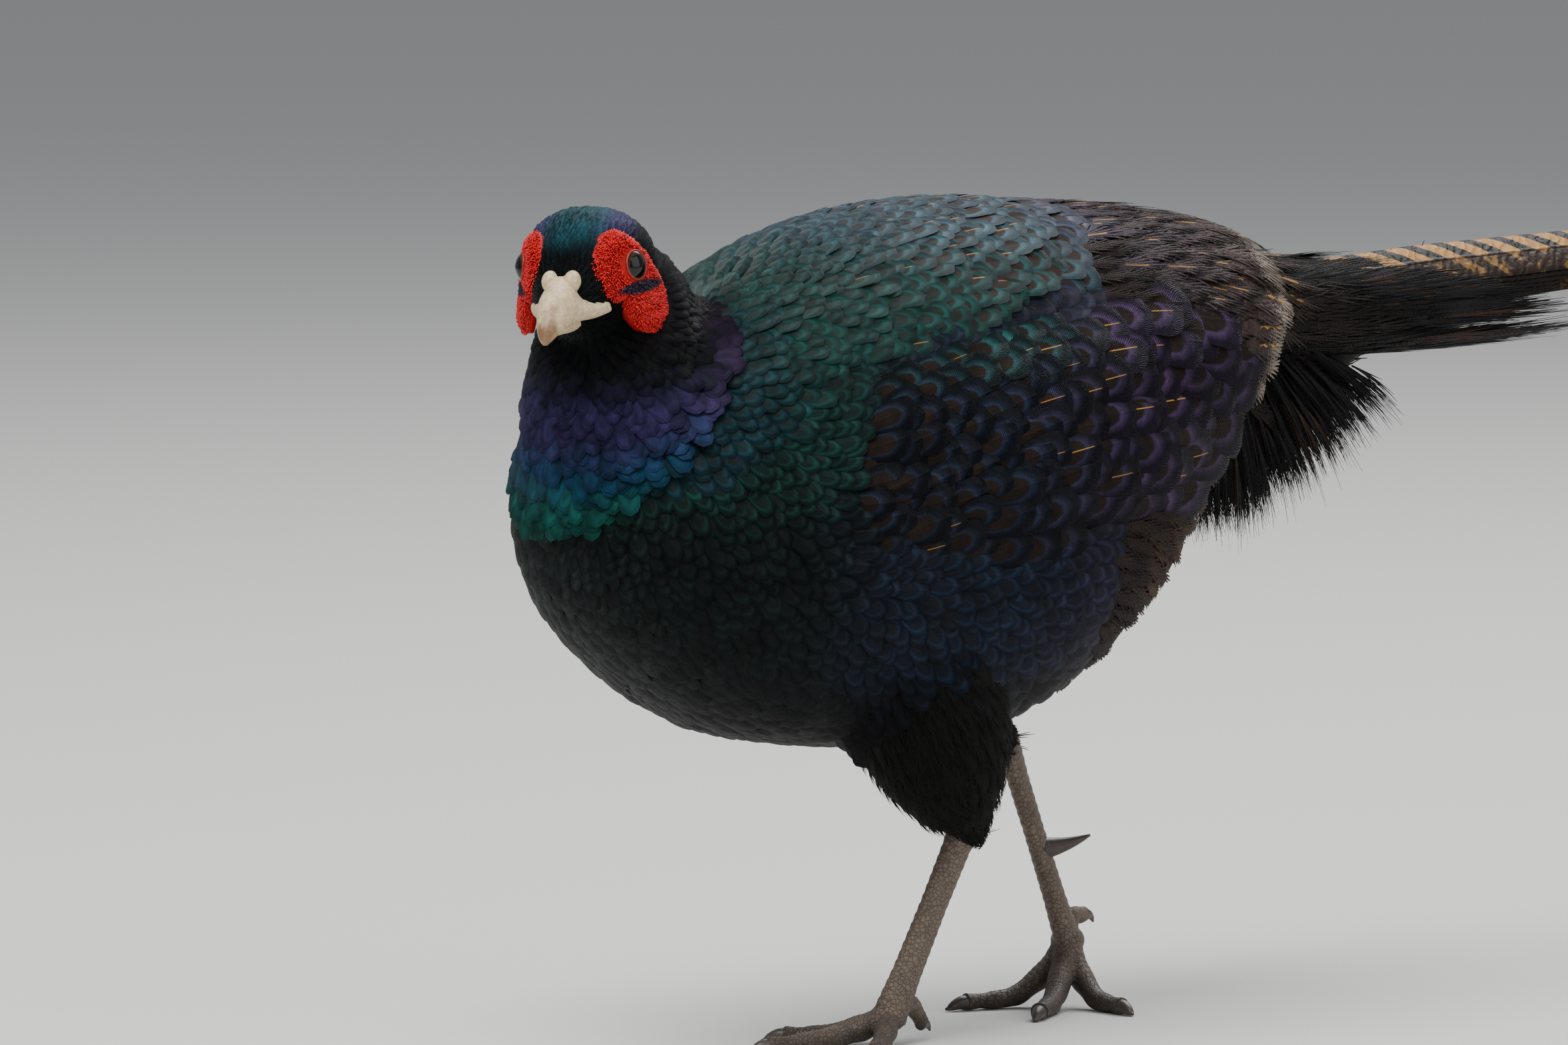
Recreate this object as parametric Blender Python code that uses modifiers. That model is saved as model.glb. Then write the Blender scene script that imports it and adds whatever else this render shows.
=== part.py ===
"""A life-size cock pheasant of the dark (melanistic) kind, walking with its head turned to its left.

Metres, +Z up. The bird faces -Y and its left side is +X. Modelled about a point a little above the ground,
midway between the two feet; the empty STAND then carries it to its place in the part's own frame.
"""
import math

import bmesh
import bpy
import numpy as np
from mathutils import Euler, Matrix, Vector
from mathutils.bvhtree import BVHTree

GAP = 0.0003  # clearance between touching pieces
GROUND = -0.006  # height of the floor in the frame the bird is modelled in
STAND_PLACE = (0.0, -0.1693, 0.006)  # puts the origin on the floor under the middle of the whole bird

# Torso sections: y, height of the widest line, rise above it, drop below it, half width
TORSO_SECTIONS = (
    (-0.196, 0.186, 0.000, 0.000, 0.000),
    (-0.188, 0.186, 0.026, 0.030, 0.030),
    (-0.165, 0.185, 0.050, 0.055, 0.054),
    (-0.125, 0.184, 0.082, 0.078, 0.073),
    (-0.070, 0.185, 0.103, 0.087, 0.079),
    (-0.010, 0.191, 0.101, 0.090, 0.078),
    (0.038, 0.206, 0.078, 0.076, 0.070),
    (0.075, 0.229, 0.049, 0.053, 0.055),
    (0.100, 0.243, 0.027, 0.030, 0.037),
    (0.110, 0.246, 0.000, 0.000, 0.000),
)
TORSO_SQUARENESS = 2.2

# Neck sections: x, y, z, half width, half depth, from inside the breast to inside the head
NECK_SECTIONS = (
    (0.000, -0.132, 0.160, 0.030, 0.034),
    (0.000, -0.147, 0.190, 0.046, 0.046),
    (0.000, -0.155, 0.213, 0.0405, 0.0405),
    (-0.001, -0.159, 0.235, 0.0350, 0.0360),
    (-0.0013, -0.160, 0.2535, 0.0300, 0.0290),
    (0.0004, -0.160, 0.2690, 0.0215, 0.0215),
    (0.0005, -0.159, 0.2800, 0.0100, 0.0100),
)

# The head's pose: midpoint between the eyes, turn to the left, and how far the bill is lowered
HEAD_CENTRE = (0.0160, -0.1938, 0.2742)
HEAD_TURN = math.radians(37.6)
HEAD_NOD = math.radians(16.0)
HEAD_TILT = math.radians(-2.0)

# Head sections in the head's own frame: y (bill forward is -y), z of the middle, half height, half width
HEAD_SECTIONS = (
    (0.036, -0.006, 0.000, 0.000),
    (0.033, -0.006, 0.0145, 0.0160),
    (0.022, -0.0058, 0.0215, 0.0232),
    (0.008, -0.0045, 0.0230, 0.0222),
    (-0.006, -0.0045, 0.0197, 0.0160),
    (-0.016, -0.0045, 0.0140, 0.0100),
    (-0.024, -0.0060, 0.0085, 0.0064),
    (-0.0265, -0.0060, 0.000, 0.000),
)
EYE_RADIUS = 0.0064
EYE_PLACE = (0.0163, 0.0045, 0.0026)  # the left eye's centre in the head's own frame

# Wattle outline about its own centre (y, z): angle from straight back (up is positive), distance
WATTLE_CENTRE = (-0.0005, 0.0012)
WATTLE_OUTLINE = (
    (-185, 0.0158), (-155, 0.0150), (-135, 0.0138), (-115, 0.0132), (-100, 0.0185), (-86, 0.0262),
    (-72, 0.0282), (-62, 0.0276), (-50, 0.0250), (-38, 0.0208), (-16, 0.0142), (15, 0.0114),
    (45, 0.0116), (79, 0.0124), (115, 0.0128), (146, 0.0146), (175, 0.0158),
)
WATTLE_FACE = (0.0190, 0.48, -0.22)  # outer face: half width at the eye, its slope backwards and upwards
WATTLE_DEPTH = 0.0055
WATTLE_EYE_HOLE = 0.0054
LID_HEIGHT = 0.0016

# Upper bill sections: y, top, bottom, half width
UPPER_BILL_SECTIONS = (
    (-0.012, 0.0050, -0.0106, 0.0138),
    (-0.018, 0.0054, -0.0108, 0.0112),
    (-0.026, 0.0046, -0.0098, 0.0082),
    (-0.034, 0.0028, -0.0086, 0.0064),
    (-0.0410, 0.0002, -0.0082, 0.0047),
    (-0.0460, -0.0036, -0.0092, 0.0030),
    (-0.0484, -0.0072, -0.0102, 0.0013),
    (-0.0487, -0.0090, -0.0104, 0.0005),
)
LOWER_BILL_SECTIONS = (
    (-0.010, -0.0102, -0.0156, 0.0080),
    (-0.022, -0.0100, -0.0150, 0.0058),
    (-0.031, -0.0088, -0.0126, 0.0042),
    (-0.0380, -0.0084, -0.0108, 0.0022),
)
NARE_SIZE = (0.0034, 0.0044, 0.0041)
NARE_PLACE = (0.0033, -0.0205, 0.0066)

SHANK_HALF_DEPTH = 0.0060
SHANK_HALF_WIDTH = 0.0040
SHANK_SCUTES = 9
SCUTE_STEP = 0.0005

# Each leg: hip, knee and ankle of the feathered thigh with its radius there, ankle joint, toe joint,
# the way the foot points (turn to the left from straight ahead), how high its toes arch, and the
# tiers of locks on its thigh: the row they start at, their length
LEGS = {
    "left": {
        "side": 1,
        "thigh": (
            (0.038, -0.066, 0.142, 0.030),
            (0.038, -0.056, 0.115, 0.0300),
            (0.036, -0.046, 0.095, 0.0265),
            (0.034, -0.038, 0.080, 0.0185),
            (0.0325, -0.0325, 0.070, 0.0105),
            (0.0322, -0.0350, 0.063, 0.0075),
        ),
        "ankle": (0.0325, -0.0300, 0.0760),
        "toe_joint": (0.0310, -0.0660, 0.0040),
        "foot_turn": math.radians(-1),
        "arch": 1.6,
        "locks": ((1, 0.034), (2, 0.027)),
    },
    "right": {
        "side": -1,
        "thigh": (
            (-0.038, -0.020, 0.146, 0.030),
            (-0.038, -0.002, 0.124, 0.0285),
            (-0.036, 0.016, 0.106, 0.0200),
            (-0.0335, 0.031, 0.093, 0.0112),
            (-0.0325, 0.0385, 0.0870, 0.0082),
        ),
        "ankle": (-0.0325, 0.0370, 0.0925),
        "toe_joint": (-0.0310, 0.0648, 0.0170),
        "foot_turn": math.radians(36),
        "arch": 2.1,
        "locks": ((0, 0.034), (1, 0.025)),
    },
}
# Toes: angle out from the foot's own heading (towards the bird's midline is inner), length, root radius
TOES = {
    "inner": (46, 0.038, 0.0046),
    "middle": (4, 0.052, 0.0050),
    "outer": (-46, 0.042, 0.0044),
    "hind": (160, 0.015, 0.0036),
}
TOE_TIP_RADIUS = 0.0030
CLAW_LENGTH = 0.011
SPUR_LENGTH = 0.017

WING_CENTRE = (-0.032, 0.212)  # y, z of the folded wing's middle
WING_HALF_SIZE = (0.088, 0.036)
WING_THICKNESS = 0.0070
WING_SLOPE = 0.16  # rise of the wing's long axis towards the tail
COVERT_TIERS = ((-0.086, 0.0), (-0.052, 0.5))  # y of the roots, stagger
COVERT_SIZE = (0.054, 0.0270)  # length, width
COVERT_SPACING = 0.0200
COVERT_LIFT = (-0.0014, 0.0050)
# y and height over the wing's axis of the quills' roots
QUILL_ROOTS = ((-0.020, 0.0220), (-0.019, 0.0100), (-0.016, -0.0015), (-0.010, -0.0130), (0.002, -0.0220))
QUILL_SIZE = (0.078, 0.0220)

RIDGE_START = (0.116, 0.2625)  # y, z of the tail's ridge over its root
RIDGE_SLOPE = 0.031
TAIL_PAIRS = (0.452, 0.430, 0.385, 0.325, 0.270, 0.220, 0.176, 0.140, 0.112)  # lengths, middle pair first
TAIL_VANE_HALF_WIDTH = (0.0124, 0.0104)  # middle pair, outermost pair
TAIL_ROOF = (24.0, 88.0)  # slope of the roof's sides in degrees, at the ridge and at the edges
TAIL_ROOF_ARC = 0.041
TAIL_LAYER = 0.00115  # each pair lies this much under the one before

FEATHER_THICKNESS = 0.0008

# base colour, roughness, metallic
FINISHES = {
    "body": ((0.020, 0.045, 0.055), 0.45, 0.2),
    "neck": ((0.025, 0.060, 0.100), 0.40, 0.3),
    "head": ((0.015, 0.035, 0.045), 0.45, 0.2),
    "wing": ((0.035, 0.028, 0.045), 0.50, 0.1),
    "rump": ((0.060, 0.045, 0.050), 0.60, 0.0),
    "tail": ((0.045, 0.030, 0.020), 0.60, 0.0),
    "tail_coverts": ((0.012, 0.011, 0.012), 0.60, 0.0),
    "thigh": ((0.014, 0.012, 0.011), 0.65, 0.0),
    "wattle": ((0.620, 0.020, 0.020), 0.55, 0.0),
    "eye": ((0.015, 0.010, 0.008), 0.08, 0.0),
    "bill": ((0.640, 0.560, 0.410), 0.45, 0.0),
    "leg": ((0.230, 0.180, 0.130), 0.60, 0.0),
    "claw": ((0.120, 0.095, 0.070), 0.45, 0.0),
}


def clear_scene():
    """Empty the scene."""
    for thing in list(bpy.data.objects):
        bpy.data.objects.remove(thing, do_unlink=True)


def finish_material(name):
    """The Principled material of that finish, made once."""
    if name in bpy.data.materials:
        return bpy.data.materials[name]
    colour, roughness, metallic = FINISHES[name]
    material = bpy.data.materials.new(name)
    material.use_nodes = True
    shader = material.node_tree.nodes["Principled BSDF"]
    shader.inputs["Base Color"].default_value = (*colour, 1.0)
    shader.inputs["Roughness"].default_value = roughness
    shader.inputs["Metallic"].default_value = metallic
    return material


def through(stations, t):
    """Rows of a smooth curve through the stations, at parameters t from 0 to 1."""
    rows = np.array(stations, float)
    last = len(rows) - 1
    place = np.clip(np.asarray(t, float), 0, 1) * last
    i = np.minimum(place.astype(int), last - 1)
    s = (place - i)[:, None]
    padded = np.vstack([2 * rows[0] - rows[1], rows, 2 * rows[-1] - rows[-2]])
    p0, p1, p2, p3 = padded[i], padded[i + 1], padded[i + 2], padded[i + 3]
    return 0.5 * (2 * p1 + (p2 - p0) * s + (2 * p0 - 5 * p1 + 4 * p2 - p3) * s**2
                  + (3 * p1 - p0 - 3 * p2 + p3) * s**3)


def eased(count, closed_start=True, closed_end=True):
    """Parameters from 0 to 1, closer together at an end that rounds off to a point."""
    t = np.linspace(0, 1, count)
    if closed_start and closed_end:
        return (1 - np.cos(np.pi * t)) / 2
    if closed_end:
        return np.sin(np.pi / 2 * t)
    if closed_start:
        return 1 - np.cos(np.pi / 2 * t)
    return t


def loft(rings, name="loft"):
    """A closed mesh through rings of points, its two ends closed by a point at the middle of each."""
    count, around = len(rings), len(rings[0])
    mesh = bmesh.new()
    rows = [[mesh.verts.new(p) for p in ring] for ring in rings]
    for a, b in zip(rows, rows[1:]):
        for j in range(around):
            k = (j + 1) % around
            mesh.faces.new((a[j], a[k], b[k], b[j]))
    for row, step in ((rows[0], -1), (rows[count - 1], 1)):
        middle = mesh.verts.new(np.mean([v.co for v in row], axis=0))
        for j in range(around):
            k = (j + 1) % around
            mesh.faces.new((row[j], row[k], middle)[::step])
    bmesh.ops.triangulate(mesh, faces=mesh.faces[:])
    bmesh.ops.recalc_face_normals(mesh, faces=mesh.faces[:])
    if mesh.calc_volume(signed=True) < 0:
        bmesh.ops.reverse_faces(mesh, faces=mesh.faces[:])
    made = bpy.data.meshes.new(name)
    mesh.to_mesh(made)
    mesh.free()
    return made


def superellipse(around, squareness):
    """Cosine-like and sine-like factors round a section."""
    turn = np.arange(around) * 2 * np.pi / around
    c, s = np.cos(turn), np.sin(turn)
    return np.sign(c) * abs(c) ** (2 / squareness), np.sign(s) * abs(s) ** (2 / squareness)


def torso_mesh(lengthwise, around):
    """The trunk: rings across the body, rounded off at breast and rump."""
    c, s = superellipse(around, TORSO_SQUARENESS)
    rings = []
    for y, z, rise, drop, half_width in through(TORSO_SECTIONS, eased(lengthwise)[1:-1]):
        height = np.where(s > 0, rise, drop)
        rings.append(np.stack([half_width * c, np.full(around, y), z + height * s], axis=1))
    return loft(rings, "torso")


def neck_mesh(lengthwise, around):
    """The neck: level rings from inside the breast to inside the head."""
    c, s = superellipse(around, 2.0)
    rings = []
    for x, y, z, half_width, half_depth in through(NECK_SECTIONS, np.linspace(0, 1, lengthwise)):
        rings.append(np.stack([x + half_width * c, y + half_depth * s, np.full(around, z)], axis=1))
    return loft(rings, "neck")


def head_mesh(lengthwise, around):
    """The feathered head in its own frame, without bill, eyes and wattles."""
    c, s = superellipse(around, 2.15)
    rings = []
    for y, z, half_height, half_width in through(HEAD_SECTIONS, eased(lengthwise)[1:-1]):
        rings.append(np.stack([half_width * c, np.full(around, y), z + half_height * s], axis=1))
    return loft(rings, "head")


def bill_mesh(sections, lengthwise, around, flat_side):
    """A half of the bill: rings with one flatter side, below for the upper half and above for the lower."""
    c, s = superellipse(around, 2.3)
    rings = []
    for y, top, bottom, half_width in through(sections, np.linspace(0, 1, lengthwise)):
        edge = bottom if flat_side < 0 else top
        arch = (top - bottom) * 0.86
        belly = (top - bottom) * 0.14
        height = np.where(s * flat_side > 0, belly, arch)
        base = edge - flat_side * belly
        rings.append(np.stack([half_width * c, np.full(around, y), base + height * s], axis=1))
    return loft(rings, "bill")


def tube_mesh(points, radii, around, flat_floor=False):
    """A round limb along a row of points, with a radius at each; its underside is flattened on the floor."""
    points = np.array(points, float)
    turn = np.arange(around) * 2 * np.pi / around
    side, rings = None, []
    for i, (centre, radius) in enumerate(zip(points, radii)):
        along = points[min(i + 1, len(points) - 1)] - points[max(i - 1, 0)]
        along /= np.linalg.norm(along)
        if side is None:
            side = np.cross(along, (0, 0, 1.0) if abs(along[2]) < 0.9 else (0, -1.0, 0))
        side = side - along * side.dot(along)
        side /= np.linalg.norm(side)
        lift = np.cross(side, along)
        ring = centre + radius * (np.cos(turn)[:, None] * side + np.sin(turn)[:, None] * lift)
        if flat_floor:
            ring[:, 2] = np.maximum(ring[:, 2], GROUND)
        rings.append(ring)
    return loft(rings, "tube")


def ball_mesh(radii, centre, segments=14, rings=9, turn=None):
    """An ellipsoid."""
    mesh = bmesh.new()
    bmesh.ops.create_uvsphere(mesh, u_segments=segments, v_segments=rings, radius=1.0)
    place = Matrix.Translation(centre)
    if turn is not None:
        place = place @ turn.to_matrix().to_4x4()
    mesh.transform(place @ Matrix.Diagonal((*radii, 1.0)))
    bmesh.ops.triangulate(mesh, faces=mesh.faces[:])
    made = bpy.data.meshes.new("ball")
    mesh.to_mesh(made)
    mesh.free()
    return made


def leaf_mesh(grid, normals, thickness):
    """A thin closed leaf over a grid of points, split into triangles alike on both faces."""
    grid, normals = np.array(grid, float), np.array(normals, float)
    count, across = grid.shape[:2]
    half = np.broadcast_to(np.asarray(thickness, float)[..., None] / 2, grid.shape)
    mesh = bmesh.new()
    top = [[mesh.verts.new(p) for p in row] for row in grid + normals * half]
    bottom = [[mesh.verts.new(p) for p in row] for row in grid - normals * half]
    for i in range(count - 1):
        for j in range(across - 1):
            cell = ((i, j), (i + 1, j), (i + 1, j + 1), (i, j + 1))
            corners = (0, 1, 2), (0, 2, 3)
            if j >= across // 2:
                corners = (0, 1, 3), (1, 2, 3)
            for trio in corners:
                mesh.faces.new([top[cell[n][0]][cell[n][1]] for n in trio])
                mesh.faces.new([bottom[cell[n][0]][cell[n][1]] for n in reversed(trio)])
    rim = [(i, 0) for i in range(count)] + [(count - 1, j) for j in range(1, across)]
    rim += [(i, across - 1) for i in range(count - 2, -1, -1)] + [(0, j) for j in range(across - 2, 0, -1)]
    for (a, b), (c, d) in zip(rim, rim[1:] + rim[:1]):
        mesh.faces.new((top[c][d], top[a][b], bottom[a][b]))
        mesh.faces.new((top[c][d], bottom[a][b], bottom[c][d]))
    bmesh.ops.recalc_face_normals(mesh, faces=mesh.faces[:])
    if mesh.calc_volume(signed=True) < 0:
        bmesh.ops.reverse_faces(mesh, faces=mesh.faces[:])
    made = bpy.data.meshes.new("leaf")
    mesh.to_mesh(made)
    mesh.free()
    return made


def outline_width(t, root=0.45, tip=0.35, fullest=0.6):
    """A vane's width along its length as a share of its greatest, from root to tip."""
    rise = root + (1 - root) * np.sin(np.clip(t / fullest, 0, 1) * np.pi / 2)
    fall = np.clip((t - fullest) / (1 - fullest), 0, 1)
    return rise * (tip + (1 - tip) * np.sqrt(np.clip(1 - fall**2, 0, 1)))


class Guides:
    """Smooth surfaces that vanes lie over: the outermost one counts at each place."""

    def __init__(self, *meshes):
        """Take in the surfaces."""
        self.trees = []
        for mesh in meshes:
            points = [v.co.copy() for v in mesh.vertices]
            faces = [tuple(p.vertices) for p in mesh.polygons]
            self.trees.append(BVHTree.FromPolygons(points, faces))

    def nearest(self, point):
        """Place and normal on the surface that the point is least far out of."""
        best = None
        for tree in self.trees:
            place, normal, _, _ = tree.find_nearest(point)
            out = (point - place).dot(normal)
            if best is None or out < best[0]:
                best = (out, place, normal)
        return best[1], best[2]

    def vane(self, start, heading, length, width, lift, steps=4, roll=0.0, webs=(-1, 0, 1)):
        """A vane from a point on over the surfaces that rises from lift[0] to lift[1] above them."""
        place, normal = self.nearest(Vector(start))
        heading = Vector(heading)
        grid, normals = [], []
        for i in range(steps + 1):
            t = i / steps
            heading = (heading - normal * heading.dot(normal)).normalized()
            side = heading.cross(normal).normalized()
            half = width / 2 * outline_width(t)
            height = lift[0] + (lift[1] - lift[0]) * t
            row, row_normals = [], []
            for k in webs:
                spot, up = self.nearest(place + side * half * k)
                row.append(spot + up * (height + roll * half * k))
                row_normals.append(normal)
            grid.append(row)
            normals.append(row_normals)
            place, normal = self.nearest(place + heading * (length / steps))
        return leaf_mesh(grid, normals, np.full((steps + 1, len(webs)), FEATHER_THICKNESS))


def free_vane(points, sides, normals, half_widths):
    """A vane along a free row of points."""
    grid, ups = [], []
    for point, side, normal, half in zip(points, sides, normals, half_widths):
        point, side, normal = (np.array(v, float) for v in (point, side, normal))
        grid.append([point - side * half, point + side * half])
        ups.append([normal, normal])
    return leaf_mesh(grid, ups, np.full((len(grid), 2), FEATHER_THICKNESS))


def lock_mesh(start, heading, length, width, facing, bend=(0, 0, -0.3), steps=3, thickness=0.0011):
    """A flat, tapered lock of loose feather, its flat side facing one way, that bends as it goes."""
    point, heading, facing = Vector(start), Vector(heading).normalized(), Vector(facing)
    grid, normals = [], []
    for i in range(steps + 1):
        t = i / steps
        half = width / 2 * (1 - 0.85 * t**1.6)
        side = heading.cross(facing).normalized()
        up = side.cross(heading).normalized()
        grid.append([point - side * half, point + side * half])
        normals.append([up, up])
        heading = (heading + Vector(bend) / steps).normalized()
        point = point + heading * (length / steps)
    taper = np.linspace(1, 0.5, steps + 1)[:, None] * np.full((steps + 1, 2), thickness)
    return leaf_mesh(grid, normals, taper)


def as_object(name, mesh, collection):
    """An object that shows the mesh, in a collection."""
    thing = bpy.data.objects.new(name, mesh)
    collection.objects.link(thing)
    return thing


def settled(thing):
    """Apply the object's modifiers and keep only its largest closed surface."""
    bpy.context.view_layer.update()
    graph = bpy.context.evaluated_depsgraph_get()
    made = bpy.data.meshes.new_from_object(thing.evaluated_get(graph))
    thing.modifiers.clear()
    thing.data = made
    mesh = bmesh.new()
    mesh.from_mesh(made)
    mesh.faces.ensure_lookup_table()
    left, shells = set(mesh.faces), []
    while left:
        shell, edge = set(), [next(iter(left))]
        while edge:
            face = edge.pop()
            if face in shell:
                continue
            shell.add(face)
            edge.extend(f for e in face.edges for f in e.link_faces if f not in shell)
        left -= shell
        shells.append(shell)
    largest = max(shells, key=shell_volume)
    dropped = [f for shell in shells if shell is not largest for f in shell]
    bmesh.ops.delete(mesh, geom=dropped, context="FACES")
    bmesh.ops.delete(mesh, geom=[v for v in mesh.verts if not v.link_faces], context="VERTS")
    bmesh.ops.triangulate(mesh, faces=mesh.faces[:])
    mesh.to_mesh(made)
    mesh.free()
    return thing


def blended(name, meshes, voxel, rounds):
    """One smooth surface over several meshes, with the creases between them filled a little."""
    joined = bmesh.new()
    for mesh in meshes:
        joined.from_mesh(mesh)
    whole = bpy.data.meshes.new(name)
    joined.to_mesh(whole)
    joined.free()
    thing = as_object(name, whole, bpy.context.scene.collection)
    melt = thing.modifiers.new("melt", "REMESH")
    melt.mode, melt.voxel_size = "VOXEL", voxel
    ease = thing.modifiers.new("ease", "SMOOTH")
    ease.iterations, ease.factor = rounds, 0.5
    bpy.context.view_layer.update()
    made = bpy.data.meshes.new_from_object(thing.evaluated_get(bpy.context.evaluated_depsgraph_get()))
    bpy.data.objects.remove(thing, do_unlink=True)
    return made


def shell_volume(faces):
    """Volume inside a closed set of faces."""
    total = 0.0
    for face in faces:
        a, *rest = [loop.vert.co for loop in face.loops]
        total += sum(a.dot(b.cross(c)) for b, c in zip(rest, rest[1:]))
    return total / 6


def fused(name, core, pieces, collection):
    """One closed body from a core and the pieces rooted in it."""
    body = as_object(name, core, collection)
    if not pieces:
        return body
    group = bpy.data.collections.new(name + "_pieces")
    bpy.context.scene.collection.children.link(group)
    for number, piece in enumerate(pieces):
        as_object(f"{name}_piece_{number}", piece, group)
    join = body.modifiers.new("join", "BOOLEAN")
    join.operation, join.operand_type = "UNION", "COLLECTION"
    join.solver, join.collection = "MANIFOLD", group
    settled(body)
    for piece in list(group.objects):
        bpy.data.objects.remove(piece, do_unlink=True)
    bpy.data.collections.remove(group)
    return body


def grown(mesh, by=GAP):
    """A copy of a smooth mesh, larger by that much all round, for cutting its neighbours clear of it."""
    copy = mesh.copy()
    normals = [v.normal.copy() for v in copy.vertices]
    for vertex, normal in zip(copy.vertices, normals):
        vertex.co += normal * by
    return copy


def trim(thing, cutters, collection, frame=None):
    """Cut the object by meshes given in the bird's frame or in the head's."""
    for mesh in cutters:
        cutter = as_object(thing.name + "_cutter", mesh, collection)
        cutter.hide_render, cutter.display_type = True, "WIRE"
        if frame is not None:
            cutter.matrix_world = frame
        cut = thing.modifiers.new("cut", "BOOLEAN")
        cut.operation, cut.solver, cut.object = "DIFFERENCE", "MANIFOLD", cutter
    settled(thing)
    for cutter in [c for c in collection.objects if c.name.startswith(thing.name + "_cutter")]:
        bpy.data.objects.remove(cutter, do_unlink=True)
    return thing


def head_frame():
    """Where the head's own frame sits in the bird's."""
    turn = Matrix.Rotation(HEAD_TURN, 4, "Z") @ Matrix.Rotation(HEAD_NOD, 4, "X")
    return Matrix.Translation(HEAD_CENTRE) @ turn @ Matrix.Rotation(HEAD_TILT, 4, "Y")


def in_head(mesh):
    """Carry a mesh from the head's own frame to the bird's."""
    mesh.transform(head_frame())
    return mesh


def mirrored(mesh):
    """The mesh seen in the middle plane, still facing outwards."""
    copy = mesh.copy()
    copy.transform(Matrix.Diagonal((-1, 1, 1, 1)))
    copy.flip_normals()
    return copy


def wattle_mesh(rings, around):
    """The left wattle in the head's own frame, round the eye, with a raised lid and a folded lower lobe."""
    eye, centre = np.array(EYE_PLACE[1:]), np.array(WATTLE_CENTRE)
    turns = np.radians(np.linspace(-180, 180, around, endpoint=False))
    known, reach = np.array(WATTLE_OUTLINE).T
    reach = np.interp(np.degrees(turns), known, reach)
    width, back_slope, up_slope = WATTLE_FACE
    outer, inner = [], []
    for share in np.linspace(0, 1, rings):
        radius = WATTLE_EYE_HOLE + (reach - WATTLE_EYE_HOLE) * share
        middle = eye + (centre - eye) * min(1.0, share * 1.5)
        y, z = middle[0] + radius * np.cos(turns), middle[1] + radius * np.sin(turns)
        face = width + back_slope * y + up_slope * z
        face += LID_HEIGHT * max(0.0, 1 - share / 0.25)
        face -= 0.0018 * share**4
        low = np.clip((-z - 0.011) / 0.012, 0, 1)
        face += 0.0005 * low * np.cos(z / 0.0017) * (share < 0.95)
        groove = np.exp(-(((np.degrees(turns) + 45) / 16) ** 2)) * np.exp(-(((share - 0.45) / 0.3) ** 2))
        face -= 0.0012 * groove
        outer.append(np.stack([face, y, z], axis=1))
        inner.append(np.stack([face - WATTLE_DEPTH * (1 - 0.45 * share**3), y, z], axis=1))
    mesh = bmesh.new()
    front = [[mesh.verts.new(p) for p in row] for row in outer]
    rear = [[mesh.verts.new(p) for p in row] for row in inner]
    for rows, step in ((front, 1), (rear, -1)):
        for a, b in zip(rows, rows[1:]):
            for j in range(around):
                k = (j + 1) % around
                mesh.faces.new((a[j], b[j], b[k], a[k])[::step])
    for a, b, step in ((front[0], rear[0], -1), (front[-1], rear[-1], 1)):
        for j in range(around):
            k = (j + 1) % around
            mesh.faces.new((a[j], b[j], b[k], a[k])[::step])
    bmesh.ops.triangulate(mesh, faces=mesh.faces[:])
    bmesh.ops.recalc_face_normals(mesh, faces=mesh.faces[:])
    if mesh.calc_volume(signed=True) < 0:
        bmesh.ops.reverse_faces(mesh, faces=mesh.faces[:])
    made = bpy.data.meshes.new("wattle")
    mesh.to_mesh(made)
    mesh.free()
    return made


def wing_core_mesh(side, body, lengthwise=12, upwards=8):
    """The folded wing's bulk: a low dome laid along the trunk's side."""
    guide = Guides(body)
    (y0, z0), (half_y, half_z) = WING_CENTRE, WING_HALF_SIZE
    outer, inner = [], []
    for v in np.linspace(-1, 1, upwards):
        row_out, row_in = [], []
        for u in np.linspace(-1, 1, lengthwise):
            reach = math.sqrt(1 - (0.94 * v) ** 2)
            y = y0 + half_y * u * reach
            z = z0 + half_z * v + WING_SLOPE * (y - y0)
            hit = guide.trees[0].ray_cast(Vector((side * 0.3, y, z)), Vector((-side, 0, 0)))
            place, normal = hit[0], hit[1]
            dome = (1 - abs(0.97 * u) ** 2.6) * (1 - abs(0.97 * v) ** 2.6)
            row_out.append(place + normal * (WING_THICKNESS * dome))
            row_in.append(place - normal * 0.003)
        outer.append(row_out)
        inner.append(row_in)
    mesh = bmesh.new()
    top = [[mesh.verts.new(p) for p in row] for row in outer]
    bottom = [[mesh.verts.new(p) for p in row] for row in inner]
    last_i, last_j = upwards - 1, lengthwise - 1
    for i in range(last_i):
        for j in range(last_j):
            mesh.faces.new((top[i][j], top[i][j + 1], top[i + 1][j + 1], top[i + 1][j]))
            mesh.faces.new((bottom[i][j], bottom[i + 1][j], bottom[i + 1][j + 1], bottom[i][j + 1]))
    rim = [(i, 0) for i in range(upwards)] + [(last_i, j) for j in range(1, lengthwise)]
    rim += [(i, last_j) for i in range(last_i - 1, -1, -1)] + [(0, j) for j in range(last_j - 1, 0, -1)]
    for (a, b), (c, d) in zip(rim, rim[1:] + rim[:1]):
        mesh.faces.new((top[a][b], top[c][d], bottom[c][d], bottom[a][b]))
    bmesh.ops.triangulate(mesh, faces=mesh.faces[:])
    bmesh.ops.recalc_face_normals(mesh, faces=mesh.faces[:])
    if mesh.calc_volume(signed=True) < 0:
        bmesh.ops.reverse_faces(mesh, faces=mesh.faces[:])
    made = bpy.data.meshes.new("wing")
    mesh.to_mesh(made)
    mesh.free()
    return made


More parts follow.
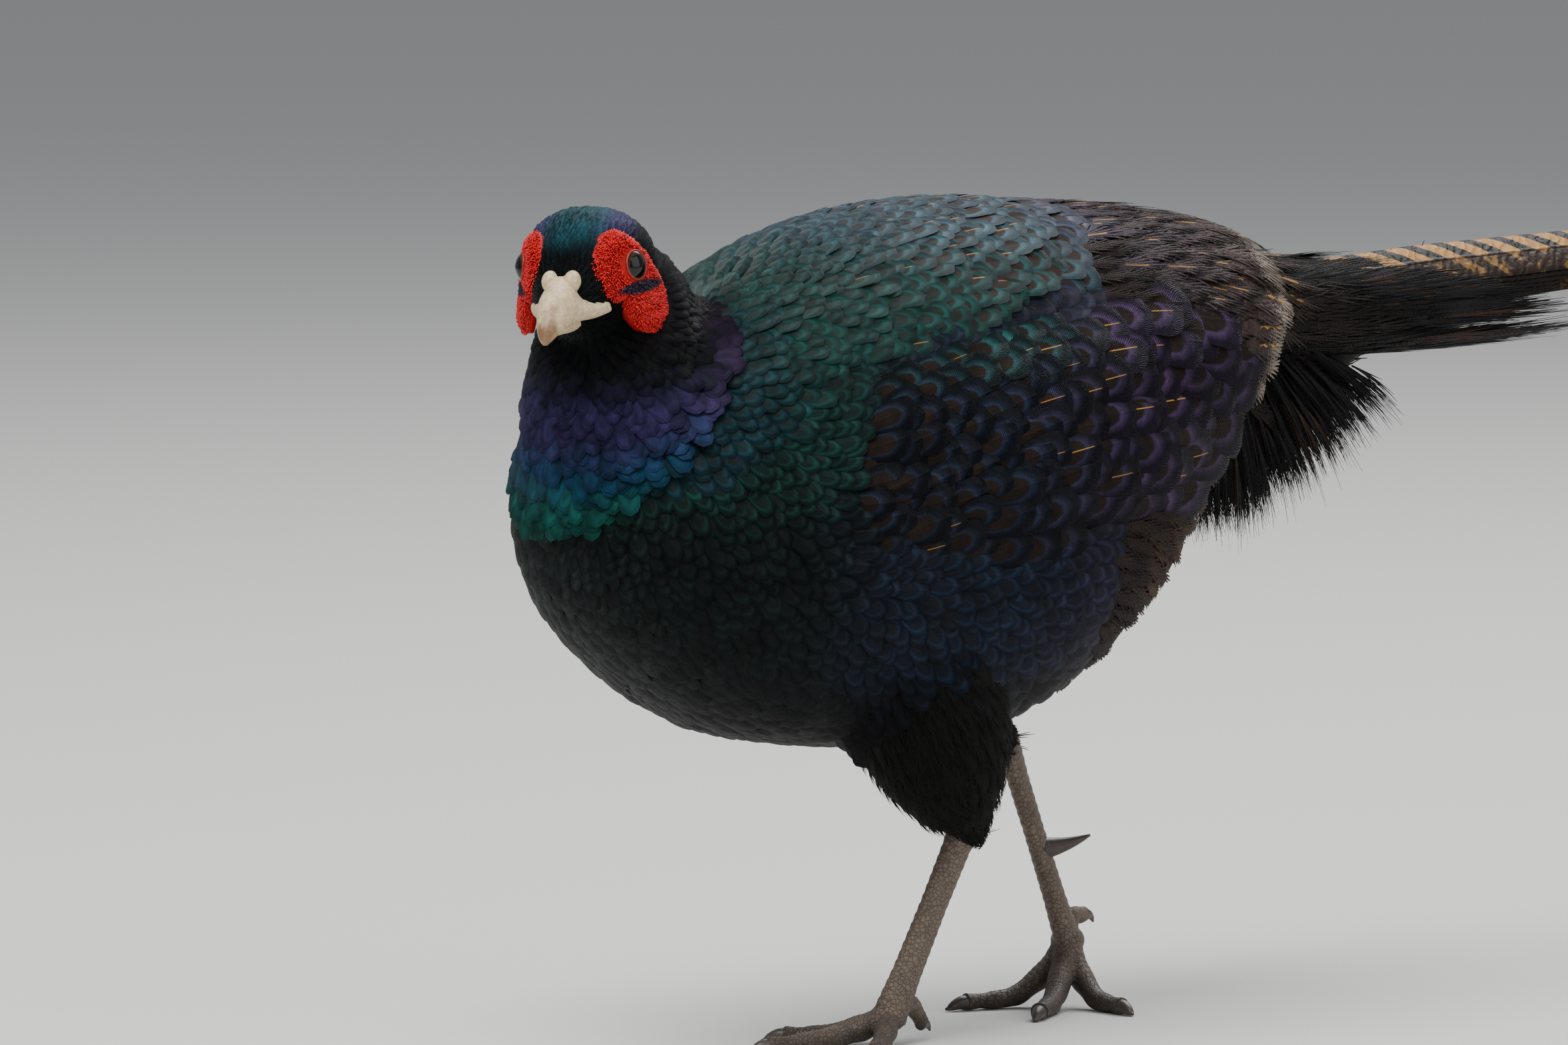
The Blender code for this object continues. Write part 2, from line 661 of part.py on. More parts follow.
def section_mesh(sections, lengthwise, around, squareness=2.2, skew=0.0):
    """Rings across the bird through sections of y, top, bottom, half width."""
    c, s = superellipse(around, squareness)
    rings = []
    for y, top, bottom, half_width in through(sections, np.linspace(0, 1, lengthwise)):
        middle, half = (top + bottom) / 2, (top - bottom) / 2
        rings.append(np.stack([half_width * c, y + skew * s * half, middle + half * s], axis=1))
    return loft(rings, "sections")


# Rump cape: y, height of its side edges, thickness
CAPE_ROWS = (
    (0.006, 0.276, 0.0010),
    (0.022, 0.263, 0.0022),
    (0.044, 0.252, 0.0030),
    (0.066, 0.240, 0.0034),
    (0.086, 0.230, 0.0034),
    (0.098, 0.226, 0.0030),
)
CAPE_TIERS = ((0.014, 4, 0.056), (0.038, 4, 0.056), (0.062, 5, 0.056))  # y of the roots, count, length
CAPE_VANE_WIDTH = 0.0330

# Tail coverts: the sleeve round the tail's root and the wedge below it: y, top, bottom, half width
COVERT_SLEEVE = (
    (0.085, 0.2585, 0.2300, 0.0280),
    (0.110, 0.2618, 0.2270, 0.0290),
    (0.140, 0.2640, 0.2255, 0.0280),
    (0.172, 0.2654, 0.2275, 0.0262),
    (0.196, 0.2662, 0.2300, 0.0248),
)
COVERT_WEDGE = (
    (0.078, 0.240, 0.206, 0.014),
    (0.090, 0.240, 0.190, 0.018),
    (0.106, 0.240, 0.184, 0.018),
    (0.124, 0.240, 0.192, 0.016),
    (0.144, 0.239, 0.206, 0.013),
    (0.172, 0.238, 0.223, 0.008),
)
TAIL_ROOT_SECTIONS = (
    (0.100, 0.2570, 0.2400, 0.0100),
    (0.116, 0.2590, 0.2385, 0.0125),
    (0.132, 0.2590, 0.2410, 0.0115),
    (0.150, 0.2570, 0.2480, 0.0060),
)
TAIL_DIP = (0.0032, 0.085)  # how much lower the tail's ridge starts under the coverts, and how far that goes
# Hanging plumes: y, z of the root, direction down from level backwards in degrees, length
PLUMES = (
    (0.089, 0.201, 97, 0.034),
    (0.098, 0.197, 84, 0.037),
    (0.109, 0.196, 71, 0.037),
    (0.122, 0.202, 59, 0.038),
    (0.134, 0.208, 47, 0.039),
    (0.147, 0.215, 35, 0.040),
    (0.161, 0.223, 22, 0.041),
)
PLUME_SIDE = 0.0080
SLEEVE_PLUMES = 6

# Ruff tiers: start above the crease between neck and trunk, length, lift at the tip, turn of the first
RUFF_TIERS = ((0.0235, 0.041, 0.0068, 0.25), (0.0120, 0.039, 0.0066, 0.75))
RUFF_COUNT = 8
RUFF_WIDTH = 0.0335


def leg_direction(turn):
    """The level heading of a toe."""
    return Vector((math.sin(turn), -math.cos(turn), 0.0))


def shank_mesh(leg):
    """The bare shank from the ankle to the toe joint, deeper than wide, with steps for its scutes."""
    ankle, joint = Vector(leg["ankle"]), Vector(leg["toe_joint"])
    along = (joint - ankle).normalized()
    start, stop = ankle - along * 0.007, joint + along * 0.001
    front = leg_direction(leg["foot_turn"])
    side = along.cross(front).normalized()
    front = side.cross(along)
    swell = ((0.0, 0.95), (0.12, 1.12), (0.26, 0.95), (0.50, 0.90), (0.80, 0.98), (1.0, 1.18))
    ways, sizes = zip(*swell)
    turn = np.arange(10) * 2 * np.pi / 10
    depths = np.cos(turn)[:, None] * np.array(front) * SHANK_HALF_DEPTH
    widths = np.sin(turn)[:, None] * np.array(side) * SHANK_HALF_WIDTH
    rings = []
    for i in range(SHANK_SCUTES + 1):
        for step, drop in ((0.0, 0.0), (0.12, 1.0)):
            if drop and not 2 <= i < SHANK_SCUTES:
                continue
            t = (i + step) / SHANK_SCUTES
            size = float(np.interp(t, ways, sizes)) - drop * SCUTE_STEP / SHANK_HALF_WIDTH
            rings.append(np.array(start.lerp(stop, t)) + (depths + widths) * size)
    return loft(rings, "shank")


def toe_points(leg, name):
    """The middle line of a toe, its radii, and the way its claw points."""
    angle, length, root = TOES[name]
    turn = leg["foot_turn"] - leg["side"] * math.radians(angle)
    way = leg_direction(turn)
    joint = Vector(leg["toe_joint"])
    rest = GROUND + TOE_TIP_RADIUS * 0.86
    points, radii = [], []
    if name == "hind":
        rise = Vector(leg["ankle"]) - joint
        base = joint + rise.normalized() * 0.009
        drop = min(base.z - rest - 0.001, 0.012) if leg["arch"] < 2 else 0.0
        for t in np.linspace(0, 1, 5):
            start = joint.lerp(base, min(1, 2.2 * t))
            points.append(start + way * (length * t) - Vector((0, 0, drop * t**1.4)))
            radii.append(root + (TOE_TIP_RADIUS * 0.9 - root) * t)
        return points, radii
    for t in np.linspace(0, 1, 8):
        fall = max(0.0, 1 - t / 0.72) ** leg["arch"]
        height = rest + (joint.z - rest) * fall
        radius = root + (TOE_TIP_RADIUS - root) * t
        knuckle = 0.00035 * math.cos(t * 3 * 2 * math.pi)
        points.append(joint + way * (length * t) + Vector((0, 0, height - joint.z)))
        radii.append(radius + knuckle)
    return points, radii


def claw_mesh(points, length, root, droop=0.45):
    """A curved claw that carries on from the last two of the points."""
    heading = (points[-1] - points[-2]).normalized()
    heading.z = max(heading.z, -0.1) + 0.30
    point = points[-1] - heading.normalized() * 0.001
    middle, radii = [], []
    for t in np.linspace(0, 1, 5):
        middle.append(point.copy())
        radii.append(root * (1 - t) ** 0.8 + 0.0003)
        heading = (heading.normalized() + Vector((0, 0, -droop * (0.5 + t)))).normalized()
        point = point + heading * (length / 4)
        point.z = max(point.z, GROUND + 0.0006)
    return tube_mesh(middle, radii, 6, flat_floor=True)


def spur_mesh(leg):
    """The spur on the inner rear side of the shank."""
    ankle, joint = Vector(leg["ankle"]), Vector(leg["toe_joint"])
    base = joint.lerp(ankle, 0.45)
    way = Vector((-leg["side"] * 0.55, 0.80, 0.10)).normalized()
    middle, radii = [], []
    for t in np.linspace(0, 1, 5):
        middle.append(base + way * (0.0015 + SPUR_LENGTH * t) + Vector((0, 0, 0.003 * t * t)))
        radii.append(0.0038 * (1 - t) ** 0.9 + 0.0004)
    return tube_mesh(middle, radii, 7)


def wing_vanes(side, guides):
    """The folded wing's coverts in tiers, and the quills that come out from under them."""
    vanes = []
    y0, z0 = WING_CENTRE
    heading = (0, 1, WING_SLOPE)
    for y, stagger in COVERT_TIERS:
        for row in range(3):
            over = (row - 1 + stagger - 0.25) * COVERT_SPACING
            start = (side * 0.15, y, z0 + over + WING_SLOPE * (y - y0))
            length, width = COVERT_SIZE
            vanes.append(guides.vane(start, heading, length, width, COVERT_LIFT, 3, side * 0.075))
    length, width = QUILL_SIZE
    for y, over in QUILL_ROOTS:
        start = (side * 0.15, y, z0 + over + WING_SLOPE * (y - y0))
        vanes.append(guides.vane(start, heading, length, width, (-0.0018, 0.0048), 3, side * 0.11, (-1, 1)))
    return vanes


def cape_ring(guide, y, low, out, count):
    """Points over the trunk's back from one side edge to the other, that far out of it."""
    centre = Vector((0, y, 0.235))
    ends = []
    for side in (1, -1):
        flat, steep = 0.0, math.pi / 2
        if low < centre.z:
            flat = -math.pi / 3
        for _ in range(24):
            angle = (flat + steep) / 2
            way = Vector((side * math.cos(angle), 0, math.sin(angle)))
            hit = guide.trees[0].ray_cast(centre + way * 0.2, -way)[0]
            if hit is None or hit.z < low:
                flat = angle
            else:
                steep = angle
        ends.append(angle if side > 0 else math.pi - angle)
    points = []
    for angle in np.linspace(ends[0], ends[1], count):
        way = Vector((math.cos(angle), 0, math.sin(angle)))
        hit, normal, _, _ = guide.trees[0].ray_cast(centre + way * 0.2, -way)
        points.append(hit + normal * out)
    return points


def cape_mesh(guide, count):
    """The bulk under the rump's plumes: a sheet laid over the trunk's back."""
    outer = [cape_ring(guide, y, low, out, count) for y, low, out in CAPE_ROWS]
    inner = [cape_ring(guide, y, low, -0.003, count) for y, low, _ in CAPE_ROWS]
    middle = [[(a + b) / 2 for a, b in zip(*rows)] for rows in zip(outer, inner)]
    normals = [[(a - b).normalized() for a, b in zip(*rows)] for rows in zip(outer, inner)]
    depth = [[(a - b).length for a, b in zip(*rows)] for rows in zip(outer, inner)]
    return leaf_mesh(middle, normals, np.array(depth))


def cape_vanes(torso_guide, guides):
    """Three tiers of long plumes over the rump, the last of them free at their ends."""
    vanes = []
    for y, count, length in CAPE_TIERS:
        low = float(np.interp(y, [row[0] for row in CAPE_ROWS], [row[1] for row in CAPE_ROWS])) + 0.004
        ring = cape_ring(torso_guide, y, low, 0.006, count)
        for number, start in enumerate(ring):
            across = number / (count - 1) - 0.5
            heading = (0.10 * across, 1, 0)
            lift = (-0.0014, 0.0036)
            vanes.append(guides.vane(start, heading, length, CAPE_VANE_WIDTH, lift, 3, 0.062))
    return vanes


def roof(arc):
    """Across the tail: sideways and down from the ridge at that distance round its roof-like section."""
    middles = (np.arange(24) + 0.5) / 24 * arc
    slope = np.radians(TAIL_ROOF[0] + (TAIL_ROOF[1] - TAIL_ROOF[0]) * middles / TAIL_ROOF_ARC)
    return np.cos(slope).mean() * arc, np.sin(slope).mean() * arc, slope[-1]


def tail_line(out):
    """Height of the tail's ridge, and how far its sides are spread, at that distance from its root."""
    dip = TAIL_DIP[0] * max(0.0, 1 - out / TAIL_DIP[1])
    return RIDGE_START[1] + RIDGE_SLOPE * out - dip, 0.42 + 0.58 * min(1.0, max(0.0, out) / 0.055)


def tail_envelope(clear=0.0012, lowest=0.2365):
    """A closed form a little larger than the root of the folded tail."""
    rings = []
    for out in (-0.017, 0.0, 0.03, 0.06, 0.1):
        ridge, spread = tail_line(out)
        half = []
        for share in (0.25, 0.5, 0.75, 1.0):
            sideways, down, slope = roof(0.0405 * spread * share)
            half.append((sideways + clear * math.sin(slope), ridge - down + clear * math.cos(slope)))
        edge, low = half[-1]
        floor = min(low, lowest) - clear if out < 0.05 else low - clear
        half += [(edge, floor)]
        ring = [(0.0, ridge + 1.2 * clear)] + half + [(-x, z) for x, z in reversed(half)]
        rings.append([(x, RIDGE_START[0] + out, z) for x, z in ring])
    return loft([np.array(ring) for ring in rings], "envelope")


def tail_vanes():
    """Nine graduated pairs of feathers, each pair under the one before, folded like a roof."""
    vanes = []
    for number, length in enumerate(TAIL_PAIRS):
        widest, narrowest = TAIL_VANE_HALF_WIDTH
        full = widest + (narrowest - widest) * number / (len(TAIL_PAIRS) - 1)
        arc = full + 0.0006 + 0.00215 * number
        steps = 4 if number < 3 else 3
        for side in (1, -1):
            points, sides, normals, halves = [], [], [], []
            for t in np.linspace(0, 1, steps + 1) ** 1.15:
                out = length * t
                ridge, spread = tail_line(out)
                taper = 1 - 0.25 * t**2
                sideways, down, slope = roof(arc * spread * taper)
                deep = TAIL_LAYER * number * (0.5 + 0.5 * min(1.0, out / 0.04)) + 0.0004
                sideways -= deep * math.sin(slope)
                down += deep * math.cos(slope)
                points.append((side * sideways, RIDGE_START[0] + out, ridge - down - 0.0004))
                sides.append((side * math.cos(slope), 0, -math.sin(slope)))
                normals.append((side * math.sin(slope), 0, math.cos(slope)))
                grown_in = 0.42 + 0.58 * min(1.0, out / 0.06)
                end = 1 - 0.42 * t - 0.40 * max(0.0, (t - 0.9) / 0.1) ** 2
                halves.append(full * grown_in * end * 0.97)
            vanes.append(free_vane(points, sides, normals, halves))
    return vanes


def plume_locks():
    """The loose plumes that hang below the tail's root, fanned from straight down to backwards."""
    locks = []
    for side in (1, -1):
        for number, (y, z, angle, length) in enumerate(PLUMES):
            turn = math.radians(angle + 4 * side)
            heading = (0.05 * side, math.cos(turn), -math.sin(turn))
            offset = PLUME_SIDE - 0.0014 + 0.0028 * (number % 2)
            root = (side * offset, y + 0.003 * side, z + 0.003)
            locks.append(lock_mesh(root, heading, length, 0.0195, (side, 0, 0.1), (0, 0.1, -0.12), 2))
    return locks


def sleeve_locks(guides):
    """Plumes laid back along the tail's root, from under the rump's."""
    locks = []
    for tier, (y, lift, length) in enumerate(((0.106, 0.0026, 0.066), (0.136, 0.0022, 0.066))):
        for number in range(SLEEVE_PLUMES - tier):
            share = (number + 0.5 * tier) / (SLEEVE_PLUMES - 1)
            angle = math.radians(-24 + 228 * share)
            start = (0.06 * math.cos(angle), y, 0.248 + 0.06 * math.sin(angle))
            heading = (0, 1, 0.03 - 0.16 * math.cos(angle) ** 2)
            locks.append(guides.vane(start, heading, length, 0.0190, (-0.0012, lift), 2, 0.08, (-1, 1)))
    return locks


def ruff_vanes(neck_guide, torso_guide, guides):
    """Tiers of broad feathers from the foot of the neck out over the trunk."""
    vanes = []
    for above, length, lift, stagger in RUFF_TIERS:
        for number in range(RUFF_COUNT):
            angle = 2 * math.pi * (number + stagger) / RUFF_COUNT
            way = Vector((math.cos(angle), math.sin(angle), 0))
            level = 0.290
            while level > 0.17:
                hit = neck_guide.trees[0].ray_cast(Vector((0, -0.157, level)) + way * 0.1, -way)[0]
                if hit is not None:
                    place, normal, _, _ = torso_guide.trees[0].find_nearest(hit)
                    if (hit - place).dot(normal) < 0.0:
                        break
                level -= 0.001
            over = Vector((0, -0.157, min(level + above, 0.262 + above / 2)))
            start = neck_guide.trees[0].ray_cast(over + way * 0.1, -way)[0]
            heading = (way.x * 0.3, way.y * 0.3, -1)
            vanes.append(guides.vane(start, heading, length, RUFF_WIDTH, (-0.0010, lift), 3, 0.045))
    return vanes


def thigh_locks(leg, guides):
    """Tapering locks laid down the feathered thigh, in two tiers."""
    locks = []
    rows = leg["thigh"]
    for tier, (row, length) in enumerate(leg["locks"]):
        x, y, z, radius = rows[row]
        for number in range(3):
            angle = 2 * math.pi * (number + 0.5 * tier + 0.25) / 3
            start = Vector((x + radius * math.cos(angle), y + radius * math.sin(angle), z))
            heading = Vector(rows[row + 1][:3]) - Vector(rows[row][:3])
            locks.append(guides.vane(start, heading, length, 0.024, (-0.0016, 0.0036), 2, 0.05, (-1, 0, 1)))
    return locks


class Bird:
    """Builds the nodes in order, each cut clear of those before it."""

    def __init__(self):
        """Make the collections, the materials and the empty that carries everything."""
        self.parts = bpy.data.collections.new("pheasant")
        self.cutters = bpy.data.collections.new("cutters")
        for group in (self.parts, self.cutters):
            bpy.context.scene.collection.children.link(group)
        self.cutters.hide_render = True
        self.stand = bpy.data.objects.new("STAND", None)
        self.parts.objects.link(self.stand)

    def add(self, name, finish, core, pieces=(), clear_of=()):
        """A node from a core and the pieces rooted in it, cut clear of the meshes given."""
        body = fused(name, core, list(pieces), self.parts)
        if clear_of:
            trim(body, [grown(mesh) for mesh in clear_of], self.cutters)
        body.data.materials.clear()
        body.data.materials.append(finish_material(finish))
        body.parent = self.stand
        return body


def build():
    """Every node of the bird."""
    bird = Bird()
    torso, smooth_torso = torso_mesh(18, 22), torso_mesh(60, 72)
    neck, smooth_neck = neck_mesh(8, 16), neck_mesh(40, 48)
    head = in_head(head_mesh(11, 16))
    eyes = {
        side: in_head(ball_mesh((EYE_RADIUS,) * 3, (side * EYE_PLACE[0], *EYE_PLACE[1:]), 12, 7))
        for side in (1, -1)
    }
    upper_bill = in_head(bill_mesh(UPPER_BILL_SECTIONS, 9, 10, -1))
    lower_bill = in_head(bill_mesh(LOWER_BILL_SECTIONS, 7, 10, 1))
    bulbs = [
        in_head(ball_mesh(NARE_SIZE, (side * NARE_PLACE[0], *NARE_PLACE[1:]), 9, 6))
        for side in (1, -1)
    ]
    wattle = wattle_mesh(4, 20)
    wattles = {1: in_head(wattle.copy()), -1: in_head(mirrored(wattle))}
    torso_guide, neck_guide = Guides(smooth_torso), Guides(smooth_neck)
    neck_and_torso = Guides(blended("neck_and_torso", (smooth_neck, smooth_torso), 0.004, 8))

    bird.add("torso", "body", torso.copy())
    ruff = ruff_vanes(neck_guide, torso_guide, neck_and_torso)
    bird.add("neck", "neck", neck.copy(), ruff, [torso])
    bird.add("eye_left", "eye", eyes[1].copy())
    bird.add("eye_right", "eye", eyes[-1].copy())
    bird.add("head", "head", head.copy(), (), [neck, eyes[1], eyes[-1]])
    bird.add("bill_upper", "bill", upper_bill.copy(), bulbs, [head])
    bird.add("bill_lower", "bill", lower_bill.copy(), (), [head, upper_bill])
    for side, word in ((1, "left"), (-1, "right")):
        clear = [head, neck, eyes[side], upper_bill, lower_bill]
        bird.add(f"wattle_{word}", "wattle", wattles[side].copy(), (), clear)

    for side, word in ((1, "left"), (-1, "right")):
        core = wing_core_mesh(side, smooth_torso, 9, 6)
        guides = Guides(smooth_torso, wing_core_mesh(side, smooth_torso, 24, 16))
        bird.add(f"wing_{word}", "wing", core, wing_vanes(side, guides), [torso])

    envelope = tail_envelope()
    root = section_mesh(TAIL_ROOT_SECTIONS, 5, 10)
    bird.add("tail", "tail", root.copy(), tail_vanes(), [torso])
    sleeve, wedge = section_mesh(COVERT_SLEEVE, 6, 14), section_mesh(COVERT_WEDGE, 6, 9)
    smooth_sleeve = section_mesh(COVERT_SLEEVE, 24, 40)
    locks = [wedge] + plume_locks() + sleeve_locks(Guides(smooth_sleeve))
    bird.add("tail_coverts", "tail_coverts", sleeve, locks, [torso, envelope, root])
    cape = cape_mesh(torso_guide, 11)
    over_sleeve = grown(smooth_sleeve, 0.0036)
    guides = Guides(smooth_torso, cape_mesh(torso_guide, 33), over_sleeve)
    bird.add("rump", "rump", cape, cape_vanes(torso_guide, guides), [torso, over_sleeve])

    for word, leg in LEGS.items():
        smooth = through(leg["thigh"], np.linspace(0, 1, 7))
        thigh = tube_mesh(smooth[:, :3], smooth[:, 3], 10)
        shank = shank_mesh(leg)
        fine = through(leg["thigh"], np.linspace(0, 1, 24))
        locks = thigh_locks(leg, Guides(tube_mesh(fine[:, :3], fine[:, 3], 32)))
        bird.add(f"thigh_{word}", "thigh", thigh.copy(), locks, [torso])
        bird.add(f"shank_{word}", "leg", shank.copy(), (), [thigh])
        pad = ball_mesh((0.0062, 0.0062, 0.0056), Vector(leg["toe_joint"]), 9, 6)
        toes, claws = [], {}
        for name in TOES:
            points, radii = toe_points(leg, name)
            toes.append(tube_mesh(points, radii, 7, flat_floor=True))
            length = CLAW_LENGTH * (0.7 if name == "hind" else 1.0)
            claws[name] = claw_mesh(points, length, radii[-1] * 0.82)
        foot = bird.add(f"foot_{word}", "leg", pad, toes, [shank])
        whole = foot.data.copy()
        for name, claw in claws.items():
            bird.add(f"claw_{word}_{name}", "claw", claw, (), [whole])
        bird.add(f"spur_{word}", "claw", spur_mesh(leg), (), [shank])
    bird.stand.location = STAND_PLACE


clear_scene()
build()
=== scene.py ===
"""A life-size dark cock pheasant: skin, feathers and bare parts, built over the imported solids.

The shapes are worked out in the frame that the bird is modelled in, where it faces -Y, its left side is +X
and the floor lies a little below zero. STAND then carries every finished mesh to the shared frame.
"""
import heapq
import logging
import math
from dataclasses import dataclass
from enum import Enum
from typing import Any, Callable, Iterable, Optional, Sequence

import bmesh
import bpy
import numpy as np
from mathutils import Matrix, Vector
from mathutils.bvhtree import BVHTree


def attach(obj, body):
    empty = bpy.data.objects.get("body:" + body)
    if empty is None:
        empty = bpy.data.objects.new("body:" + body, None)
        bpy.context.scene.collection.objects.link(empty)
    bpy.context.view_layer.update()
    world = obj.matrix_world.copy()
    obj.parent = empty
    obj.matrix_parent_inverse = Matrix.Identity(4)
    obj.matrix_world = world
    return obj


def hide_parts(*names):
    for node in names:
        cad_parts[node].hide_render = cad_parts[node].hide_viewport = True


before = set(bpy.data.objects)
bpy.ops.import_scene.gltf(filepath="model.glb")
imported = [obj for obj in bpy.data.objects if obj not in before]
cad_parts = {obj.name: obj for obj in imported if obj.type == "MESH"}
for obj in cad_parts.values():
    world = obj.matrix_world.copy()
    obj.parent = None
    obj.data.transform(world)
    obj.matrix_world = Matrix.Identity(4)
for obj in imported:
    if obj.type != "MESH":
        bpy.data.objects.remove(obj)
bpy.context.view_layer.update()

LOG = logging.getLogger("pheasant")
STAND = Vector((0.0, -0.1693, 0.006))
GROUND = -0.006

# Trunk sections: y, height of the widest line, rise above it, drop below it, half width
TORSO_SECTIONS = (
    (-0.196, 0.186, 0.000, 0.000, 0.000),
    (-0.188, 0.186, 0.026, 0.030, 0.030),
    (-0.165, 0.185, 0.050, 0.055, 0.054),
    (-0.125, 0.184, 0.082, 0.078, 0.073),
    (-0.070, 0.185, 0.103, 0.087, 0.079),
    (-0.010, 0.191, 0.101, 0.090, 0.078),
    (0.038, 0.206, 0.078, 0.076, 0.070),
    (0.075, 0.229, 0.049, 0.053, 0.055),
    (0.100, 0.243, 0.027, 0.030, 0.037),
    (0.110, 0.246, 0.000, 0.000, 0.000),
)
# Neck sections: x, y, z, half width, half depth
NECK_SECTIONS = (
    (0.000, -0.132, 0.160, 0.030, 0.034),
    (0.000, -0.147, 0.190, 0.046, 0.046),
    (0.000, -0.155, 0.213, 0.0405, 0.0405),
    (-0.001, -0.159, 0.235, 0.0350, 0.0360),
    (-0.0013, -0.160, 0.2535, 0.0300, 0.0290),
    (0.0004, -0.160, 0.2690, 0.0215, 0.0215),
    (0.0005, -0.159, 0.2800, 0.0100, 0.0100),
)
HEAD_CENTRE = Vector((0.0160, -0.1938, 0.2742))
HEAD_TURN, HEAD_NOD, HEAD_TILT = (math.radians(a) for a in (37.6, 16.0, -2.0))
# Head sections in the head's own frame: y (bill forward is -y), z of the middle, half height, half width
HEAD_SECTIONS = (
    (0.036, -0.006, 0.000, 0.000),
    (0.033, -0.006, 0.0145, 0.0160),
    (0.022, -0.0058, 0.0215, 0.0232),
    (0.008, -0.0045, 0.0230, 0.0222),
    (-0.006, -0.0045, 0.0197, 0.0172),
    (-0.016, -0.0045, 0.0140, 0.0120),
    (-0.024, -0.0060, 0.0080, 0.0062),
    (-0.0265, -0.0060, 0.000, 0.000),
)
EYE_PLACE = (0.0163, 0.0030, 0.0006)
# Wattle outline about its own centre (y, z): angle from straight back (up is positive), distance
WATTLE_CENTRE = (-0.0005, 0.0012)
WATTLE_OUTLINE = (
    (-185, 0.0145), (-155, 0.0142), (-135, 0.0136), (-115, 0.0118), (-100, 0.0165), (-86, 0.0246),
    (-72, 0.0288), (-62, 0.0290), (-50, 0.0270), (-38, 0.0232), (-16, 0.0162), (15, 0.0126),
    (45, 0.0118), (79, 0.0126), (115, 0.0120), (146, 0.0128), (175, 0.0145),
)
# Upper bill sections: y, top, bottom, half width
UPPER_BILL = (
    (-0.012, 0.0050, -0.0128, 0.0148),
    (-0.018, 0.0054, -0.0122, 0.0122),
    (-0.026, 0.0046, -0.0102, 0.0086),
    (-0.034, 0.0028, -0.0086, 0.0064),
    (-0.0410, 0.0002, -0.0082, 0.0047),
    (-0.0460, -0.0036, -0.0092, 0.0030),
    (-0.0484, -0.0072, -0.0102, 0.0013),
    (-0.0487, -0.0090, -0.0104, 0.0005),
)
LOWER_BILL = (
    (-0.010, -0.0102, -0.0156, 0.0080),
    (-0.022, -0.0100, -0.0150, 0.0058),
    (-0.031, -0.0088, -0.0126, 0.0042),
    (-0.0380, -0.0084, -0.0108, 0.0022),
)
NARE_SIZE, NARE_PLACE = (0.0030, 0.0044, 0.0039), (0.0040, -0.0205, 0.0032)

# Each leg: side, rows of the feathered thigh (x, y, z, radius), ankle, toe joint, heading, arch of the toes
LEGS = {
    "left": (
        1,
        (
            (0.038, -0.066, 0.142, 0.030),
            (0.038, -0.056, 0.115, 0.0300),
            (0.036, -0.046, 0.095, 0.0265),
            (0.034, -0.038, 0.080, 0.0185),
            (0.0325, -0.0325, 0.070, 0.0105),
            (0.0322, -0.0350, 0.063, 0.0075),
        ),
        (0.0325, -0.0300, 0.0760),
        (0.0310, -0.0660, 0.0040),
        math.radians(-1),
        1.6,
    ),
    "right": (
        -1,
        (
            (-0.038, -0.020, 0.146, 0.030),
            (-0.038, -0.002, 0.124, 0.0285),
            (-0.036, 0.016, 0.106, 0.0200),
            (-0.0335, 0.031, 0.093, 0.0112),
            (-0.0325, 0.0385, 0.0870, 0.0082),
        ),
        (-0.0325, 0.0370, 0.0925),
        (-0.0310, 0.0648, 0.0170),
        math.radians(36),
        2.1,
    ),
}
# Toes: angle out from the foot's heading, length, root radius
TOES = {
    "inner": (46, 0.038, 0.0046),
    "middle": (4, 0.052, 0.0050),
    "outer": (-46, 0.042, 0.0044),
    "hind": (160, 0.015, 0.0036),
}
TOE_TIP_RADIUS, CLAW_LENGTH, SPUR_LENGTH = 0.0030, 0.011, 0.017

WING_CENTRE, WING_HALF_SIZE = (-0.032, 0.212), (0.088, 0.036)
WING_THICKNESS, WING_SLOPE = 0.0070, 0.16
# Lower edge of the rump's plumes: y, and the heights there
RUMP_EDGE = ((0.006, 0.022, 0.044, 0.066, 0.086, 0.098), (0.276, 0.263, 0.250, 0.236, 0.226, 0.222))
# Tail coverts: y, top, bottom, half width
COVERT_SLEEVE = (
    (0.085, 0.2585, 0.2300, 0.0280),
    (0.110, 0.2618, 0.2270, 0.0290),
    (0.140, 0.2640, 0.2255, 0.0280),
    (0.172, 0.2590, 0.2275, 0.0258),
    (0.192, 0.2530, 0.2310, 0.0236),
)
COVERT_WEDGE = (
    (0.078, 0.240, 0.206, 0.014),
    (0.090, 0.240, 0.190, 0.018),
    (0.106, 0.240, 0.184, 0.018),
    (0.124, 0.240, 0.192, 0.016),
    (0.144, 0.239, 0.206, 0.013),
    (0.172, 0.238, 0.223, 0.008),
)
RIDGE_START, RIDGE_SLOPE = (0.116, 0.2625), 0.031
TAIL_DIP = (0.0032, 0.085)
TAIL_PAIRS = (0.452, 0.430, 0.385, 0.325, 0.270, 0.220, 0.176, 0.140, 0.112)
TAIL_VANE_HALF_WIDTH = (0.0124, 0.0104)
TAIL_ROOF, TAIL_ROOF_ARC, TAIL_LAYER = (24.0, 88.0), 0.041, 0.00115
# Hanging plumes: y, z of the root, direction down from level backwards in degrees, length
PLUMES = (
    (0.089, 0.201, 97, 0.034),
    (0.098, 0.197, 84, 0.037),
    (0.109, 0.196, 71, 0.037),
    (0.122, 0.202, 59, 0.038),
    (0.134, 0.208, 47, 0.039),
    (0.147, 0.215, 35, 0.040),
    (0.161, 0.223, 22, 0.041),
)

Array = np.ndarray
Colour = tuple[float, float, float]
Socket = bpy.types.NodeSocket


